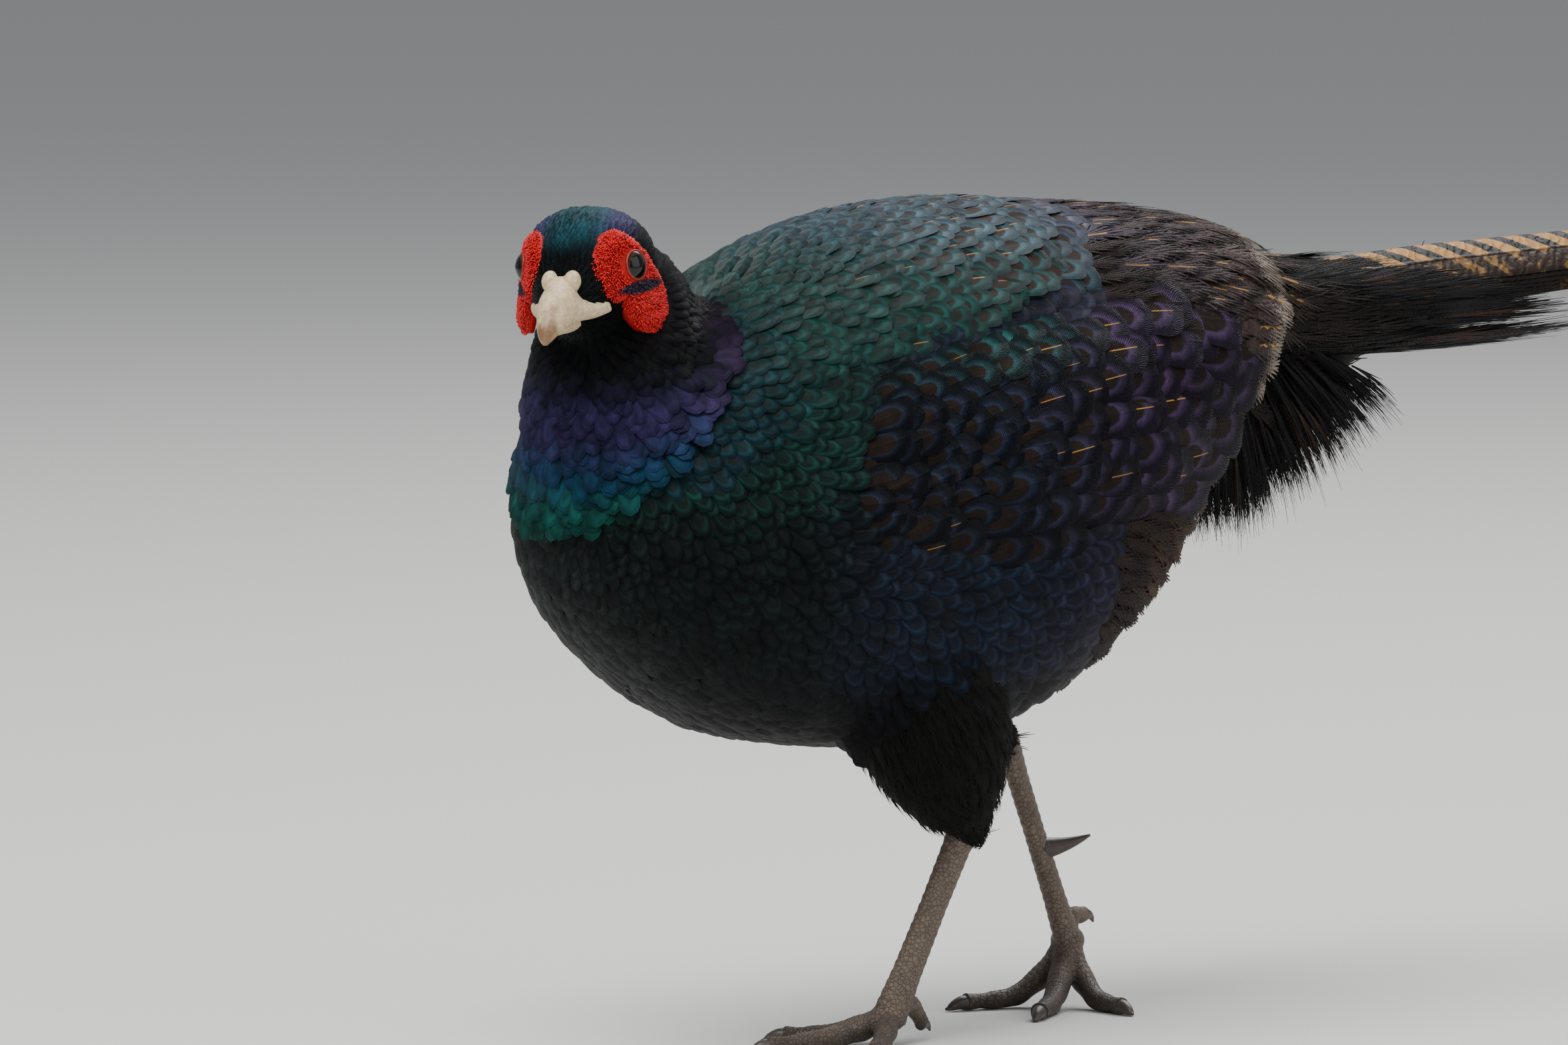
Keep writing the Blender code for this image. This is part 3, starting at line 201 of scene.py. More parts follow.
def through(stations: Sequence[Sequence[float]], t: Array) -> Array:
    """Follow a smooth curve through rows of numbers.

    Args:
        stations: the rows it passes through.
        t: places along it, from 0 to 1.

    Returns:
        One row for each place.
    """
    rows = np.array(stations, float)
    last = len(rows) - 1
    place = np.clip(np.asarray(t, float), 0, 1) * last
    i = np.minimum(place.astype(int), last - 1)
    s = (place - i)[:, None]
    padded = np.vstack([2 * rows[0] - rows[1], rows, 2 * rows[-1] - rows[-2]])
    p0, p1, p2, p3 = padded[i], padded[i + 1], padded[i + 2], padded[i + 3]
    return 0.5 * (2 * p1 + (p2 - p0) * s + (2 * p0 - 5 * p1 + 4 * p2 - p3) * s**2
                  + (3 * p1 - p0 - 3 * p2 + p3) * s**3)


def rounded(count: int) -> Array:
    """Places from 0 to 1 without the ends, closer together near both."""
    return ((1 - np.cos(np.pi * np.linspace(0, 1, count))) / 2)[1:-1]


def oval(around: int, squareness: float = 2.0) -> tuple[Array, Array]:
    """Cosine-like and sine-like factors round a section."""
    turn = np.arange(around) * 2 * np.pi / around
    c, s = np.cos(turn), np.sin(turn)
    return np.sign(c) * abs(c) ** (2 / squareness), np.sign(s) * abs(s) ** (2 / squareness)


def smooth(low: float, high: float, value: Any) -> Any:
    """Rise from 0 at low to 1 at high."""
    t = np.clip((np.asarray(value, float) - low) / (high - low), 0, 1)
    return t * t * (3 - 2 * t)


def unit(vectors: Array) -> Array:
    """The vectors at length one."""
    return vectors / np.maximum(np.linalg.norm(vectors, axis=-1, keepdims=True), 1e-12)


def columns(*values: Any) -> Array:
    """Rows of numbers from their columns, each one number or a number for every row."""
    return np.stack(np.broadcast_arrays(*values), axis=-1)


def new_mesh(name: str, points: Array, faces: Iterable[Sequence[int]]) -> bpy.types.Mesh:
    """Make a mesh whose closed surface faces outwards.

    Args:
        name: the mesh's name.
        points: its corners.
        faces: corner numbers of each face.

    Returns:
        The mesh.
    """
    mesh = bpy.data.meshes.new(name)
    mesh.from_pydata([tuple(p) for p in np.asarray(points, float)], [], [tuple(f) for f in faces])
    mesh.validate()
    work = bmesh.new()
    work.from_mesh(mesh)
    bmesh.ops.recalc_face_normals(work, faces=work.faces[:])
    if work.calc_volume(signed=True) < 0:
        bmesh.ops.reverse_faces(work, faces=work.faces[:])
    work.to_mesh(mesh)
    work.free()
    return mesh


def loft(name: str, rings: Sequence[Array]) -> bpy.types.Mesh:
    """A closed mesh through rings of points, closed at both ends by a point in the middle."""
    rings = np.asarray(rings, float)
    count, around = rings.shape[:2]
    points = np.vstack([rings.reshape(-1, 3), rings[0].mean(0), rings[-1].mean(0)])
    j = np.arange(around)
    k = (j + 1) % around
    faces = []
    for i in range(count - 1):
        low, high = i * around, (i + 1) * around
        faces += zip(low + j, low + k, high + k, high + j)
    top, last = count * around, (count - 1) * around
    faces += zip(k, j, np.full(around, top))
    faces += zip(last + j, last + k, np.full(around, top + 1))
    return new_mesh(name, points, [tuple(map(int, f)) for f in faces])


def tube(name: str, points: Array, radii: Array, around: int, ridges: Optional[Callable] = None,
         floor: Optional[float] = None) -> bpy.types.Mesh:
    """A round limb along a row of points.

    Args:
        name: the mesh's name.
        points: its middle line.
        radii: its radius at each point, or a radius to the side and one upwards.
        around: how many corners a ring has.
        ridges: height over the radius, from the place along it and the angle round it.
        floor: the height that nothing goes under.

    Returns:
        The closed mesh.
    """
    points, radii = np.array(points, float), np.array(radii, float)
    if radii.ndim == 1:
        radii = columns(radii, radii)
    turn = np.arange(around) * 2 * np.pi / around
    side, rings = None, []
    for i, centre in enumerate(points):
        along = unit(points[min(i + 1, len(points) - 1)] - points[max(i - 1, 0)])
        if side is None:
            side = np.cross(along, (0, 0, 1.0) if abs(along[2]) < 0.9 else (0, -1.0, 0))
        side = unit(side - along * side.dot(along))
        lift = np.cross(side, along)
        more = ridges(i / (len(points) - 1), turn) if ridges else np.zeros(around)
        ring = (centre + ((radii[i, 0] + more) * np.cos(turn))[:, None] * side
                + ((radii[i, 1] + more) * np.sin(turn))[:, None] * lift)
        if floor is not None:
            ring[:, 2] = np.maximum(ring[:, 2], floor)
        rings.append(ring)
    return loft(name, rings)


def ball(name: str, radii: Sequence[float], centre: Sequence[float], segments: int = 48) -> bpy.types.Mesh:
    """An ellipsoid with its poles to the two sides."""
    work = bmesh.new()
    bmesh.ops.create_uvsphere(work, u_segments=segments, v_segments=segments // 2, radius=1.0)
    turn = Matrix.Rotation(math.pi / 2, 4, "Y")
    work.transform(Matrix.Translation(Vector(centre)) @ Matrix.Diagonal((*radii, 1.0)) @ turn)
    mesh = bpy.data.meshes.new(name)
    work.to_mesh(mesh)
    work.free()
    return mesh


def head_frame() -> Matrix:
    """Where the head's own frame sits in the bird's."""
    turn = Matrix.Rotation(HEAD_TURN, 4, "Z") @ Matrix.Rotation(HEAD_NOD, 4, "X")
    return Matrix.Translation(HEAD_CENTRE) @ turn @ Matrix.Rotation(HEAD_TILT, 4, "Y")


HEAD = head_frame()
HEAD_BACK = np.array(HEAD.inverted())


def in_head(mesh: bpy.types.Mesh) -> bpy.types.Mesh:
    """Carry a mesh from the head's own frame to the bird's."""
    mesh.transform(HEAD)
    return mesh


def head_places(points: Array) -> Array:
    """Points of the bird's frame in the head's own."""
    return points @ HEAD_BACK[:3, :3].T + HEAD_BACK[:3, 3]


def mirrored(mesh: bpy.types.Mesh) -> bpy.types.Mesh:
    """The mesh seen in the middle plane, still facing outwards."""
    copy = mesh.copy()
    copy.transform(Matrix.Diagonal((-1, 1, 1, 1)))
    copy.flip_normals()
    return copy


def coordinates(mesh: bpy.types.Mesh) -> Array:
    """The mesh's points as rows."""
    flat = np.empty(len(mesh.vertices) * 3, np.float32)
    mesh.vertices.foreach_get("co", flat)
    return flat.reshape(-1, 3).astype(float)


def reshape(mesh: bpy.types.Mesh, points: Array) -> None:
    """Move the mesh's points to those places."""
    mesh.vertices.foreach_set("co", points.astype(np.float32).ravel())


def mapped(mesh: bpy.types.Mesh, places: Array) -> None:
    """Give the mesh its Feather map, from a place on the pattern for each of its points."""
    layer = mesh.uv_layers.new(name="Feather")
    corners = np.empty(len(mesh.loops), np.int32)
    mesh.loops.foreach_get("vertex_index", corners)
    layer.data.foreach_set("uv", np.asarray(places, np.float32)[corners].ravel())


def stage_object(name: str, mesh: bpy.types.Mesh) -> bpy.types.Object:
    """An object of the scene that shows the mesh."""
    thing = bpy.data.objects.new(name, mesh)
    bpy.context.scene.collection.objects.link(thing)
    return thing


def settled(thing: bpy.types.Object) -> bpy.types.Object:
    """Turn an object's evaluated shape into its plain mesh and drop the modifiers."""
    graph = bpy.context.evaluated_depsgraph_get()
    made = bpy.data.meshes.new_from_object(thing.evaluated_get(graph), preserve_all_data_layers=True,
                                           depsgraph=graph)
    thing.modifiers.clear()
    thing.data = made
    return thing


def melted(name: str, meshes: Sequence[bpy.types.Mesh], voxel: float, rounds: int,
           factor: float = 0.5) -> bpy.types.Mesh:
    """Join closed meshes that overlap into one skin.

    Args:
        name: the new mesh's name.
        meshes: the meshes to join.
        voxel: the size of the new faces.
        rounds: how often the result is smoothed.
        factor: how strong each smoothing is.

    Returns:
        The joined mesh.
    """
    work = bmesh.new()
    for mesh in meshes:
        work.from_mesh(mesh)
    whole = bpy.data.meshes.new(name)
    work.to_mesh(whole)
    work.free()
    thing = stage_object(name, whole)
    melt = thing.modifiers.new("melt", "REMESH")
    melt.mode, melt.voxel_size, melt.adaptivity = "VOXEL", voxel, 0.0
    if rounds:
        ease = thing.modifiers.new("ease", "SMOOTH")
        ease.iterations, ease.factor = rounds, factor
    settled(thing)
    made = thing.data
    bpy.data.objects.remove(thing, do_unlink=True)
    made.name = name
    return made


def finished(thing: bpy.types.Object, finish: bpy.types.Material, nodes: Sequence[str] = (),
             shade_smooth: bool = True) -> bpy.types.Object:
    """Carry a piece to the shared frame, dress it and tie it to the part.

    Args:
        thing: the piece, in the frame the bird is modelled in.
        finish: its material.
        nodes: the solids it stands for.
        shade_smooth: whether its faces are shaded smooth.

    Returns:
        The piece.
    """
    thing.data.transform(Matrix.Translation(STAND))
    if not len(thing.data.materials) or thing.data.materials[0] is not finish:
        thing.data.materials.clear()
        thing.data.materials.append(finish)
    if shade_smooth:
        thing.data.polygons.foreach_set("use_smooth", np.ones(len(thing.data.polygons), bool))
    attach(thing, "root")
    if nodes:
        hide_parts(*nodes)
    LOG.info("%s: %d triangles", thing.name, sum(len(p.vertices) - 2 for p in thing.data.polygons))
    return thing


class Tree:
    """A node tree that is being filled in."""

    def __init__(self, tree: bpy.types.NodeTree) -> None:
        """Take the tree."""
        self.tree = tree

    def add(self, kind: str, inputs: Optional[dict] = None, **settings: Any) -> bpy.types.Node:
        """Add a node.

        Args:
            kind: the node's type.
            inputs: a value or another node's output for an input's number or name.
            settings: the node's own properties.

        Returns:
            The node.
        """
        node = self.tree.nodes.new(kind)
        for key, value in settings.items():
            setattr(node, key, value)
        for key, value in (inputs or {}).items():
            self.feed(node.inputs[key], value)
        return node

    def feed(self, socket: bpy.types.NodeSocket, value: Any) -> None:
        """Link an output to the socket, or set its value."""
        if isinstance(value, bpy.types.NodeSocket):
            self.tree.links.new(value, socket)
        elif isinstance(value, tuple) and len(value) == 3 and socket.type == "RGBA":
            socket.default_value = (*value, 1.0)
        else:
            socket.default_value = value

    def math(self, operation: str, a: Any, b: Any = 0.0, c: Any = 0.0) -> Socket:
        """The result of a sum on numbers."""
        return self.add("ShaderNodeMath", {0: a, 1: b, 2: c}, operation=operation).outputs[0]

    def times(self, a: Any, b: Any) -> Socket:
        """One number times another."""
        return self.math("MULTIPLY", a, b)

    def plus(self, a: Any, b: Any) -> Socket:
        """The sum of two numbers."""
        return self.math("ADD", a, b)

    def minus(self, a: Any, b: Any) -> Socket:
        """The first number less the second."""
        return self.math("SUBTRACT", a, b)

    def vector(self, operation: str, a: Any, b: Any = (0, 0, 0)) -> Socket:
        """The result of a sum on vectors."""
        node = self.add("ShaderNodeVectorMath", {0: a}, operation=operation)
        if operation == "SCALE":
            self.feed(node.inputs["Scale"], b)
        else:
            self.feed(node.inputs[1], b)
        return node.outputs["Value" if operation in ("LENGTH", "DOT_PRODUCT") else "Vector"]

    def split(self, vector: Any) -> tuple:
        """The three numbers of a vector."""
        return tuple(self.add("ShaderNodeSeparateXYZ", {0: vector}).outputs)

    def join(self, x: Any = 0.0, y: Any = 0.0, z: Any = 0.0) -> Socket:
        """A vector from three numbers."""
        return self.add("ShaderNodeCombineXYZ", {0: x, 1: y, 2: z}).outputs[0]

    def step(self, value: Any, low: Any, high: Any, start: float = 0.0, stop: float = 1.0) -> Socket:
        """A smooth rise from start at low to stop at high."""
        inputs = {"Value": value, "From Min": low, "From Max": high, "To Min": start, "To Max": stop}
        return self.add("ShaderNodeMapRange", inputs, interpolation_type="SMOOTHSTEP").outputs[0]

    def mix(self, share: Any, a: Any, b: Any, blend: str = "MIX") -> Socket:
        """A colour between two others."""
        return self.add("ShaderNodeMix", {0: share, 6: a, 7: b}, data_type="RGBA", blend_type=blend).outputs[2]

    def noise(self, place: Any, scale: float, detail: float = 3.0, roughness: float = 0.5) -> Socket:
        """A noise value at a place."""
        inputs = {"Vector": place, "Scale": scale, "Detail": detail, "Roughness": roughness}
        return self.add("ShaderNodeTexNoise", inputs).outputs[0]

    def shaded(self, colour: Any, brightness: Any) -> Socket:
        """A colour made darker or brighter."""
        return self.mix(1.0, colour, self.join(brightness, brightness, brightness), "MULTIPLY")

    def place(self) -> Socket:
        """The place on the piece, in metres."""
        return self.add("ShaderNodeTexCoord").outputs["Object"]

    def feather_map(self) -> tuple:
        """The place across and along the feather, and a third number that is not used."""
        return self.split(self.add("ShaderNodeUVMap", uv_map="Feather").outputs[0])

    def attribute(self, name: str) -> bpy.types.Node:
        """An attribute of the mesh, in a shader."""
        return self.add("ShaderNodeAttribute", attribute_name=name)

    def bump(self, height: Any, distance: float, strength: float = 1.0, under: Any = None) -> Socket:
        """A bumped normal."""
        inputs = {"Height": height, "Distance": distance, "Strength": strength}
        if under is not None:
            inputs["Normal"] = under
        return self.add("ShaderNodeBump", inputs).outputs[0]


def new_material(name: str, roughness: float, metallic: float = 0.0,
                 specular: float = 0.5) -> tuple[bpy.types.Material, Tree, Any]:
    """A fresh material.

    Args:
        name: its name.
        roughness: the shader's roughness where nothing is linked.
        metallic: the shader's metallic value where nothing is linked.
        specular: the shader's specular level.

    Returns:
        The material, its tree and its Principled shader.
    """
    material = bpy.data.materials.new(name)
    material.use_nodes = True
    shader = material.node_tree.nodes["Principled BSDF"]
    shader.inputs["Roughness"].default_value = roughness
    shader.inputs["Metallic"].default_value = metallic
    shader.inputs["Specular IOR Level"].default_value = specular
    return material, Tree(material.node_tree), shader


@dataclass(frozen=True)
class FeatherFinish:
    """The finish of feathers: a glossy rim, a dull centre, a pale line between, a shaft and fine barbs.

    The colours come from the feathers' own attributes and the pattern from their own map.
    """

    name: str
    roughness: float = 0.48
    metallic: float = 0.30
    specular: float = 0.18
    barbs: float = 30.0
    relief: float = 0.00016
    rim: float = 0.62
    softness: float = 0.12
    line: float = 0.0
    edge: float = 0.35
    shaft: tuple[float, float] = (0.50, 0.86)
    shaft_width: float = 0.034
    pale: Colour = (0.25, 0.205, 0.165)
    gold: Colour = (0.42, 0.22, 0.065)

    def make(self) -> bpy.types.Material:
        """The material."""
        material, tree, shader = new_material(self.name, self.roughness, self.metallic, self.specular)
        across, along, _ = tree.feather_map()
        place = tree.place()
        tint, core = (tree.attribute(n).outputs["Color"] for n in ("tint", "core"))
        mark = tree.attribute("mark")
        shaft_share, core_share, gloss = tree.split(mark.outputs["Color"])
        off = tree.times(tree.math("ABSOLUTE", tree.minus(across, 0.5)), 2.0)
        down = tree.math("MAXIMUM", tree.math("DIVIDE", tree.minus(along, 0.46), 0.54), 0.0)
        out = tree.math("SQRT", tree.plus(tree.times(off, off), tree.times(down, down)))
        uneven = tree.noise(place, 500.0, 2.0)
        out = tree.plus(out, tree.times(tree.minus(uneven, 0.5), 0.14))
        inside = tree.times(tree.step(out, self.rim, self.rim - self.softness), core_share)
        colour = tree.mix(inside, tint, core)
        if self.line:
            band = tree.times(tree.step(out, self.rim - 0.06, self.rim + 0.02),
                              tree.step(out, self.rim + 0.15, self.rim + 0.04))
            band = tree.times(tree.times(band, self.line), core_share)
            bright = tree.mix(1.0, tint, (2.0, 2.0, 2.0), "MULTIPLY")
            colour = tree.mix(band, colour, tree.mix(1.0, bright, (0.012, 0.008, 0.014), "ADD"))
        dark = tree.mix(1.0, tint, (0.16, 0.16, 0.20), "MULTIPLY")
        colour = tree.mix(tree.times(tree.step(out, self.rim + 0.14, self.rim + 0.30), self.edge), colour, dark)
        slant = tree.plus(tree.times(along, self.barbs), tree.times(off, -0.34 * self.barbs))
        slant = tree.plus(slant, tree.times(tree.noise(place, 260.0, 2.0), 2.2))
        wave = tree.math("SINE", tree.times(slant, 2 * math.pi))
        shade = tree.plus(0.84, tree.times(wave, 0.16))
        patchy = tree.step(tree.noise(place, 110.0, 3.0), 0.25, 0.75, 0.60, 1.35)
        colour = tree.shaded(colour, tree.times(shade, patchy))
        pale = tree.times(tree.step(tree.plus(along, tree.times(wave, 0.06)), 0.54, 0.70),
                          mark.outputs["Alpha"])
        colour = tree.mix(pale, colour, self.pale)
        shaft = tree.times(tree.step(off, self.shaft_width * 1.6, self.shaft_width * 0.6),
                           tree.step(along, self.shaft[1] + 0.03, self.shaft[1] - 0.03))
        shaft = tree.times(shaft, tree.step(along, self.shaft[0] - 0.04, self.shaft[0] + 0.04))
        colour = tree.mix(tree.times(shaft, shaft_share), colour, self.gold)
        tree.feed(shader.inputs["Base Color"], colour)
        dull = tree.times(tree.minus(1.0, inside), gloss)
        tree.feed(shader.inputs["Metallic"], tree.times(dull, self.metallic))
        rough = tree.plus(self.roughness, tree.times(inside, 0.12))
        tree.feed(shader.inputs["Roughness"], tree.plus(rough, tree.times(uneven, 0.10)))
        ridge = tree.times(tree.step(off, 0.08, 0.0), 1.2)
        tree.feed(shader.inputs["Normal"], tree.bump(tree.plus(wave, ridge), self.relief, 0.8))
        return material


@dataclass(frozen=True)
class PaintFinish:
    """A finish of one colour, stained where the mesh's own attribute says, with grain and small relief."""

    name: str
    colour: Colour
    stain: Colour
    roughness: float = 0.5
    specular: float = 0.5
    grain: float = 500.0
    uneven: float = 0.5
    relief: float = 0.00015
    cells: float = 0.0
    tinted: bool = False

    def make(self) -> bpy.types.Material:
        """The material."""
        material, tree, shader = new_material(self.name, self.roughness, specular=self.specular)
        place = tree.place()
        fine, broad = tree.noise(place, self.grain, 4.0, 0.6), tree.noise(place, self.grain * 0.22, 3.0)
        wear = tree.attribute("wear").outputs["Fac"]
        share = tree.plus(wear, tree.times(tree.minus(broad, 0.5), self.uneven))
        base: Any = tree.attribute("tint").outputs["Color"] if self.tinted else self.colour
        colour = tree.mix(tree.step(share, 0.1, 0.9), base, self.stain)
        colour = tree.shaded(colour, tree.step(fine, 0.2, 0.8, 0.72, 1.2))
        height = fine
        if self.cells:
            cell = tree.add("ShaderNodeTexVoronoi", {"Vector": place, "Scale": self.cells},
                            feature="DISTANCE_TO_EDGE")
            groove = tree.step(cell.outputs["Distance"], 0.0, 0.12)
            height = tree.plus(tree.times(fine, 0.4), groove)
            colour = tree.shaded(colour, tree.plus(0.62, tree.times(groove, 0.38)))
        tree.feed(shader.inputs["Base Color"], colour)
        tree.feed(shader.inputs["Roughness"], tree.plus(self.roughness - 0.08, tree.times(fine, 0.16)))
        tree.feed(shader.inputs["Normal"], tree.bump(height, self.relief, 0.8))
        return material


@dataclass(frozen=True)
class EyeFinish:
    """A wet dark eye: black pupil, deep brown iris with fine rays, black rim."""

    name: str = "wet_eye"

    def make(self) -> bpy.types.Material:
        """The material."""
        material, tree, shader = new_material(self.name, 0.04, specular=0.38)
        place = tree.place()
        ring = tree.attribute("ring").outputs["Fac"]
        rays = tree.noise(place, 2400.0, 2.0)
        iris = tree.mix(tree.step(rays, 0.3, 0.7), (0.014, 0.007, 0.003), (0.055, 0.026, 0.009))
        colour = tree.mix(tree.step(ring, 0.60, 0.66), (0.001, 0.001, 0.001), iris)
        colour = tree.mix(tree.step(ring, 0.92, 1.04), colour, (0.004, 0.003, 0.003))
        tree.feed(shader.inputs["Base Color"], colour)
        return material


@dataclass(frozen=True)
class TailFinish:
    """Tail feathers: buff near the ridge with black bars, dark brown with broken buff patches lower down."""

    name: str = "barred_tail"
    pitch: float = 0.0140

    def make(self) -> bpy.types.Material:
        """The material."""
        material, tree, shader = new_material(self.name, 0.5, specular=0.14)
        across, run, _ = tree.feather_map()
        arc = tree.attribute("arc").outputs["Fac"]
        place = tree.place()
        wobble = tree.noise(place, 160.0, 3.0)
        bars = tree.plus(run, tree.times(arc, -1.0))
        bars = tree.plus(tree.math("DIVIDE", bars, self.pitch), tree.times(wobble, 0.16))
        bars = tree.math("FRACT", bars)
        bar = tree.plus(tree.step(bars, 0.54, 0.59), tree.step(bars, 0.05, 0.0))
        bar = tree.math("MINIMUM", bar, 1.0)
        buff = tree.mix(tree.noise(place, 700.0, 3.0), (0.31, 0.145, 0.032), (0.44, 0.230, 0.062))
        brown = tree.mix(tree.noise(place, 240.0, 4.0), (0.012, 0.009, 0.008), (0.045, 0.026, 0.015))
        patch = tree.times(tree.step(tree.noise(place, 120.0, 4.0, 0.7), 0.50, 0.60), 0.8)
        lower = tree.mix(tree.times(patch, tree.minus(1.0, bar)), brown, (0.22, 0.115, 0.035))
        upper = tree.mix(bar, buff, (0.002, 0.002, 0.003))
        edge = tree.plus(arc, tree.times(tree.minus(wobble, 0.5), 0.004))
        colour = tree.mix(tree.step(edge, 0.0085, 0.0110), upper, lower)
        far = tree.step(arc, 0.016, 0.030, 1.0, 0.35)
        slant = tree.plus(tree.times(run, 1400.0), tree.times(across, 24.0))
        wave = tree.math("SINE", tree.plus(slant, tree.times(wobble, 14.0)))
        shade = tree.times(far, tree.plus(0.86, tree.times(wave, 0.14)))
        colour = tree.shaded(colour, shade)
        tree.feed(shader.inputs["Base Color"], colour)
        off = tree.math("ABSOLUTE", tree.minus(across, 0.5))
        height = tree.plus(wave, tree.times(tree.step(off, 0.05, 0.01), 3.0))
        tree.feed(shader.inputs["Normal"], tree.bump(height, 0.0002, 0.8))
        return material


@dataclass(frozen=True)
class SkinFinish:
    """The dull down between the feathers, in the colours of the feathers over it."""

    name: str = "down"

    def make(self) -> bpy.types.Material:
        """The material."""
        material, tree, shader = new_material(self.name, 0.75, specular=0.15)
        place = tree.place()
        tint = tree.attribute("tint").outputs["Color"]
        fluff = tree.noise(place, 900.0, 4.0, 0.7)
        colour = tree.shaded(tint, tree.step(fluff, 0.2, 0.8, 0.15, 0.75))
        tree.feed(shader.inputs["Base Color"], colour)
        tree.feed(shader.inputs["Normal"], tree.bump(fluff, 0.0008, 0.8))
        return material


class Surface:
    """A closed triangle surface with a distance field spreading over it and the frames it gives."""

    def __init__(self, mesh: bpy.types.Mesh) -> None:
        """Read the mesh's points, triangles, edges and normals."""
        mesh.calc_loop_triangles()
        self.points = coordinates(mesh)
        tris = np.empty(len(mesh.loop_triangles) * 3, np.int32)
        mesh.loop_triangles.foreach_get("vertices", tris)
        self.tris = tris.reshape(-1, 3)
        a, b, c = (self.points[self.tris[:, k]] for k in range(3))
        face = np.cross(b - a, c - a)
        normals = np.zeros_like(self.points)
        for k in range(3):
            np.add.at(normals, self.tris[:, k], face)
        self.normals = unit(normals)
        ends = np.sort(np.concatenate([self.tris[:, pair] for pair in ([0, 1], [1, 2], [2, 0])]), axis=1)
        self.edges, index = np.unique(ends, axis=0, return_inverse=True)
        self.tri_edges = index.reshape(3, -1).T
        self.tree = BVHTree.FromPolygons(self.points.tolist(), self.tris.tolist())
        self.normals = self.eased(self.normals, 6, True)

    def eased(self, values: Array, rounds: int, as_units: bool = False) -> Array:
        """Smooth values over the surface.

        Args:
            values: a row for each point.
            rounds: how often each becomes the mean of itself and its neighbours.
            as_units: whether the rows are kept at length one.

        Returns:
            The smoothed values.
        """
        values = np.array(values, float)
        flat = values.ndim == 1
        if flat:
            values = values[:, None]
        i, j = self.edges.T
        count = np.bincount(np.concatenate([i, j]), minlength=len(values))[:, None] + 1.0
        for _ in range(rounds):
            total = values.copy()
            for column in range(values.shape[1]):
                total[:, column] += np.bincount(i, values[j, column], len(values))
                total[:, column] += np.bincount(j, values[i, column], len(values))
            values = total / count
            if as_units:
                values = unit(values)
        return values[:, 0] if flat else values

    def spread(self, sources: Array, sweeps: int = 50) -> Array:
        """Distance over the surface from the source points.

        Args:
            sources: whether each point is a source.
            sweeps: rounds of correction after the walk along the edges.

        Returns:
            The distance at each point.
        """
        lengths = np.linalg.norm(self.points[self.edges[:, 0]] - self.points[self.edges[:, 1]], axis=1)
        near: list[list] = [[] for _ in self.points]
        for (i, j), length in zip(self.edges.tolist(), lengths.tolist()):
            near[i].append((j, length))
            near[j].append((i, length))
        reach = np.full(len(self.points), np.inf)
        heap = [(0.0, int(i)) for i in np.nonzero(sources)[0]]
        reach[sources] = 0.0
        reached = reach.tolist()
        while heap:
            d, i = heapq.heappop(heap)
            if d > reached[i]:
                continue
            for j, length in near[i]:
                if d + length < reached[j]:
                    reached[j] = d + length
                    heapq.heappush(heap, (d + length, j))
        reach = np.array(reached)
        corners = []
        for c, a, b in ((0, 1, 2), (1, 2, 0), (2, 0, 1)):
            ic, ia, ib = self.tris[:, c], self.tris[:, a], self.tris[:, b]
            e1, e2 = self.points[ia] - self.points[ic], self.points[ib] - self.points[ic]
            g11, g12, g22 = (e1 * e1).sum(1), (e1 * e2).sum(1), (e2 * e2).sum(1)
            det = np.maximum(g11 * g22 - g12 * g12, 1e-20)
            corners.append((ic, ia, ib, g22 / det, -g12 / det, g11 / det))
        for _ in range(sweeps):
            for ic, ia, ib, q11, q12, q22 in corners:
                ta, tb = reach[ia], reach[ib]
                ones = q11 + 2 * q12 + q22
                qa, qb = q11 + q12, q12 + q22
                lean = qa * ta + qb * tb
                inner = q11 * ta * ta + 2 * q12 * ta * tb + q22 * tb * tb
                root = lean * lean - ones * (inner - 1)
                value = (lean + np.sqrt(np.maximum(root, 0))) / ones
                first = q11 * (ta - value) + q12 * (tb - value)
                second = q12 * (ta - value) + q22 * (tb - value)
                good = (root >= 0) & (first < 0) & (second < 0)
                np.minimum.at(reach, ic[good], value[good])
        return reach

    def slope(self, values: Array) -> Array:
        """The direction at each point in which the values grow."""
        a, b, c = (self.points[self.tris[:, k]] for k in range(3))
        va, vb, vc = (values[self.tris[:, k]] for k in range(3))
        normal = np.cross(b - a, c - a)
        grad = np.cross(normal, (va[:, None] * (c - b) + vb[:, None] * (a - c) + vc[:, None] * (b - a)))
        total = np.zeros_like(self.points)
        for k in range(3):
            np.add.at(total, self.tris[:, k], grad)
        return unit(total)

    def loops(self, values: Array, level: float) -> list[list[int]]:
        """Chains of edges where the values pass a level.

        Args:
            values: the value at each point.
            level: the level.

        Returns:
            Lists of edge numbers, each a way round or along the surface.
        """
        below = values < level
        crossed = below[self.edges[:, 0]] != below[self.edges[:, 1]]
        hit = crossed[self.tri_edges]
        rows = np.nonzero(hit.sum(1) == 2)[0]
        links: dict[int, list[int]] = {}
        for a, b in self.tri_edges[rows][hit[rows]].reshape(-1, 2).tolist():
            links.setdefault(a, []).append(b)
            links.setdefault(b, []).append(a)
        chains, seen = [], set()
        for start in links:
            if start in seen:
                continue
            chain, here = [start], start
            seen.add(start)
            while True:
                onward = [n for n in links[here] if n not in seen]
                if not onward:
                    break
                here = onward[0]
                seen.add(here)
                chain.append(here)
            chains.append(chain)
        return chains

    def nearest(self, points: Array) -> tuple[Array, Array, Array]:
        """Places, triangle numbers and distances of the nearest points of the surface."""
        places, faces, far = [], [], []
        for p in points:
            place, _, face, d = self.tree.find_nearest(Vector(p))
            places.append(place)
            faces.append(face)
            far.append(d)
        return np.array(places), np.array(faces), np.array(far)

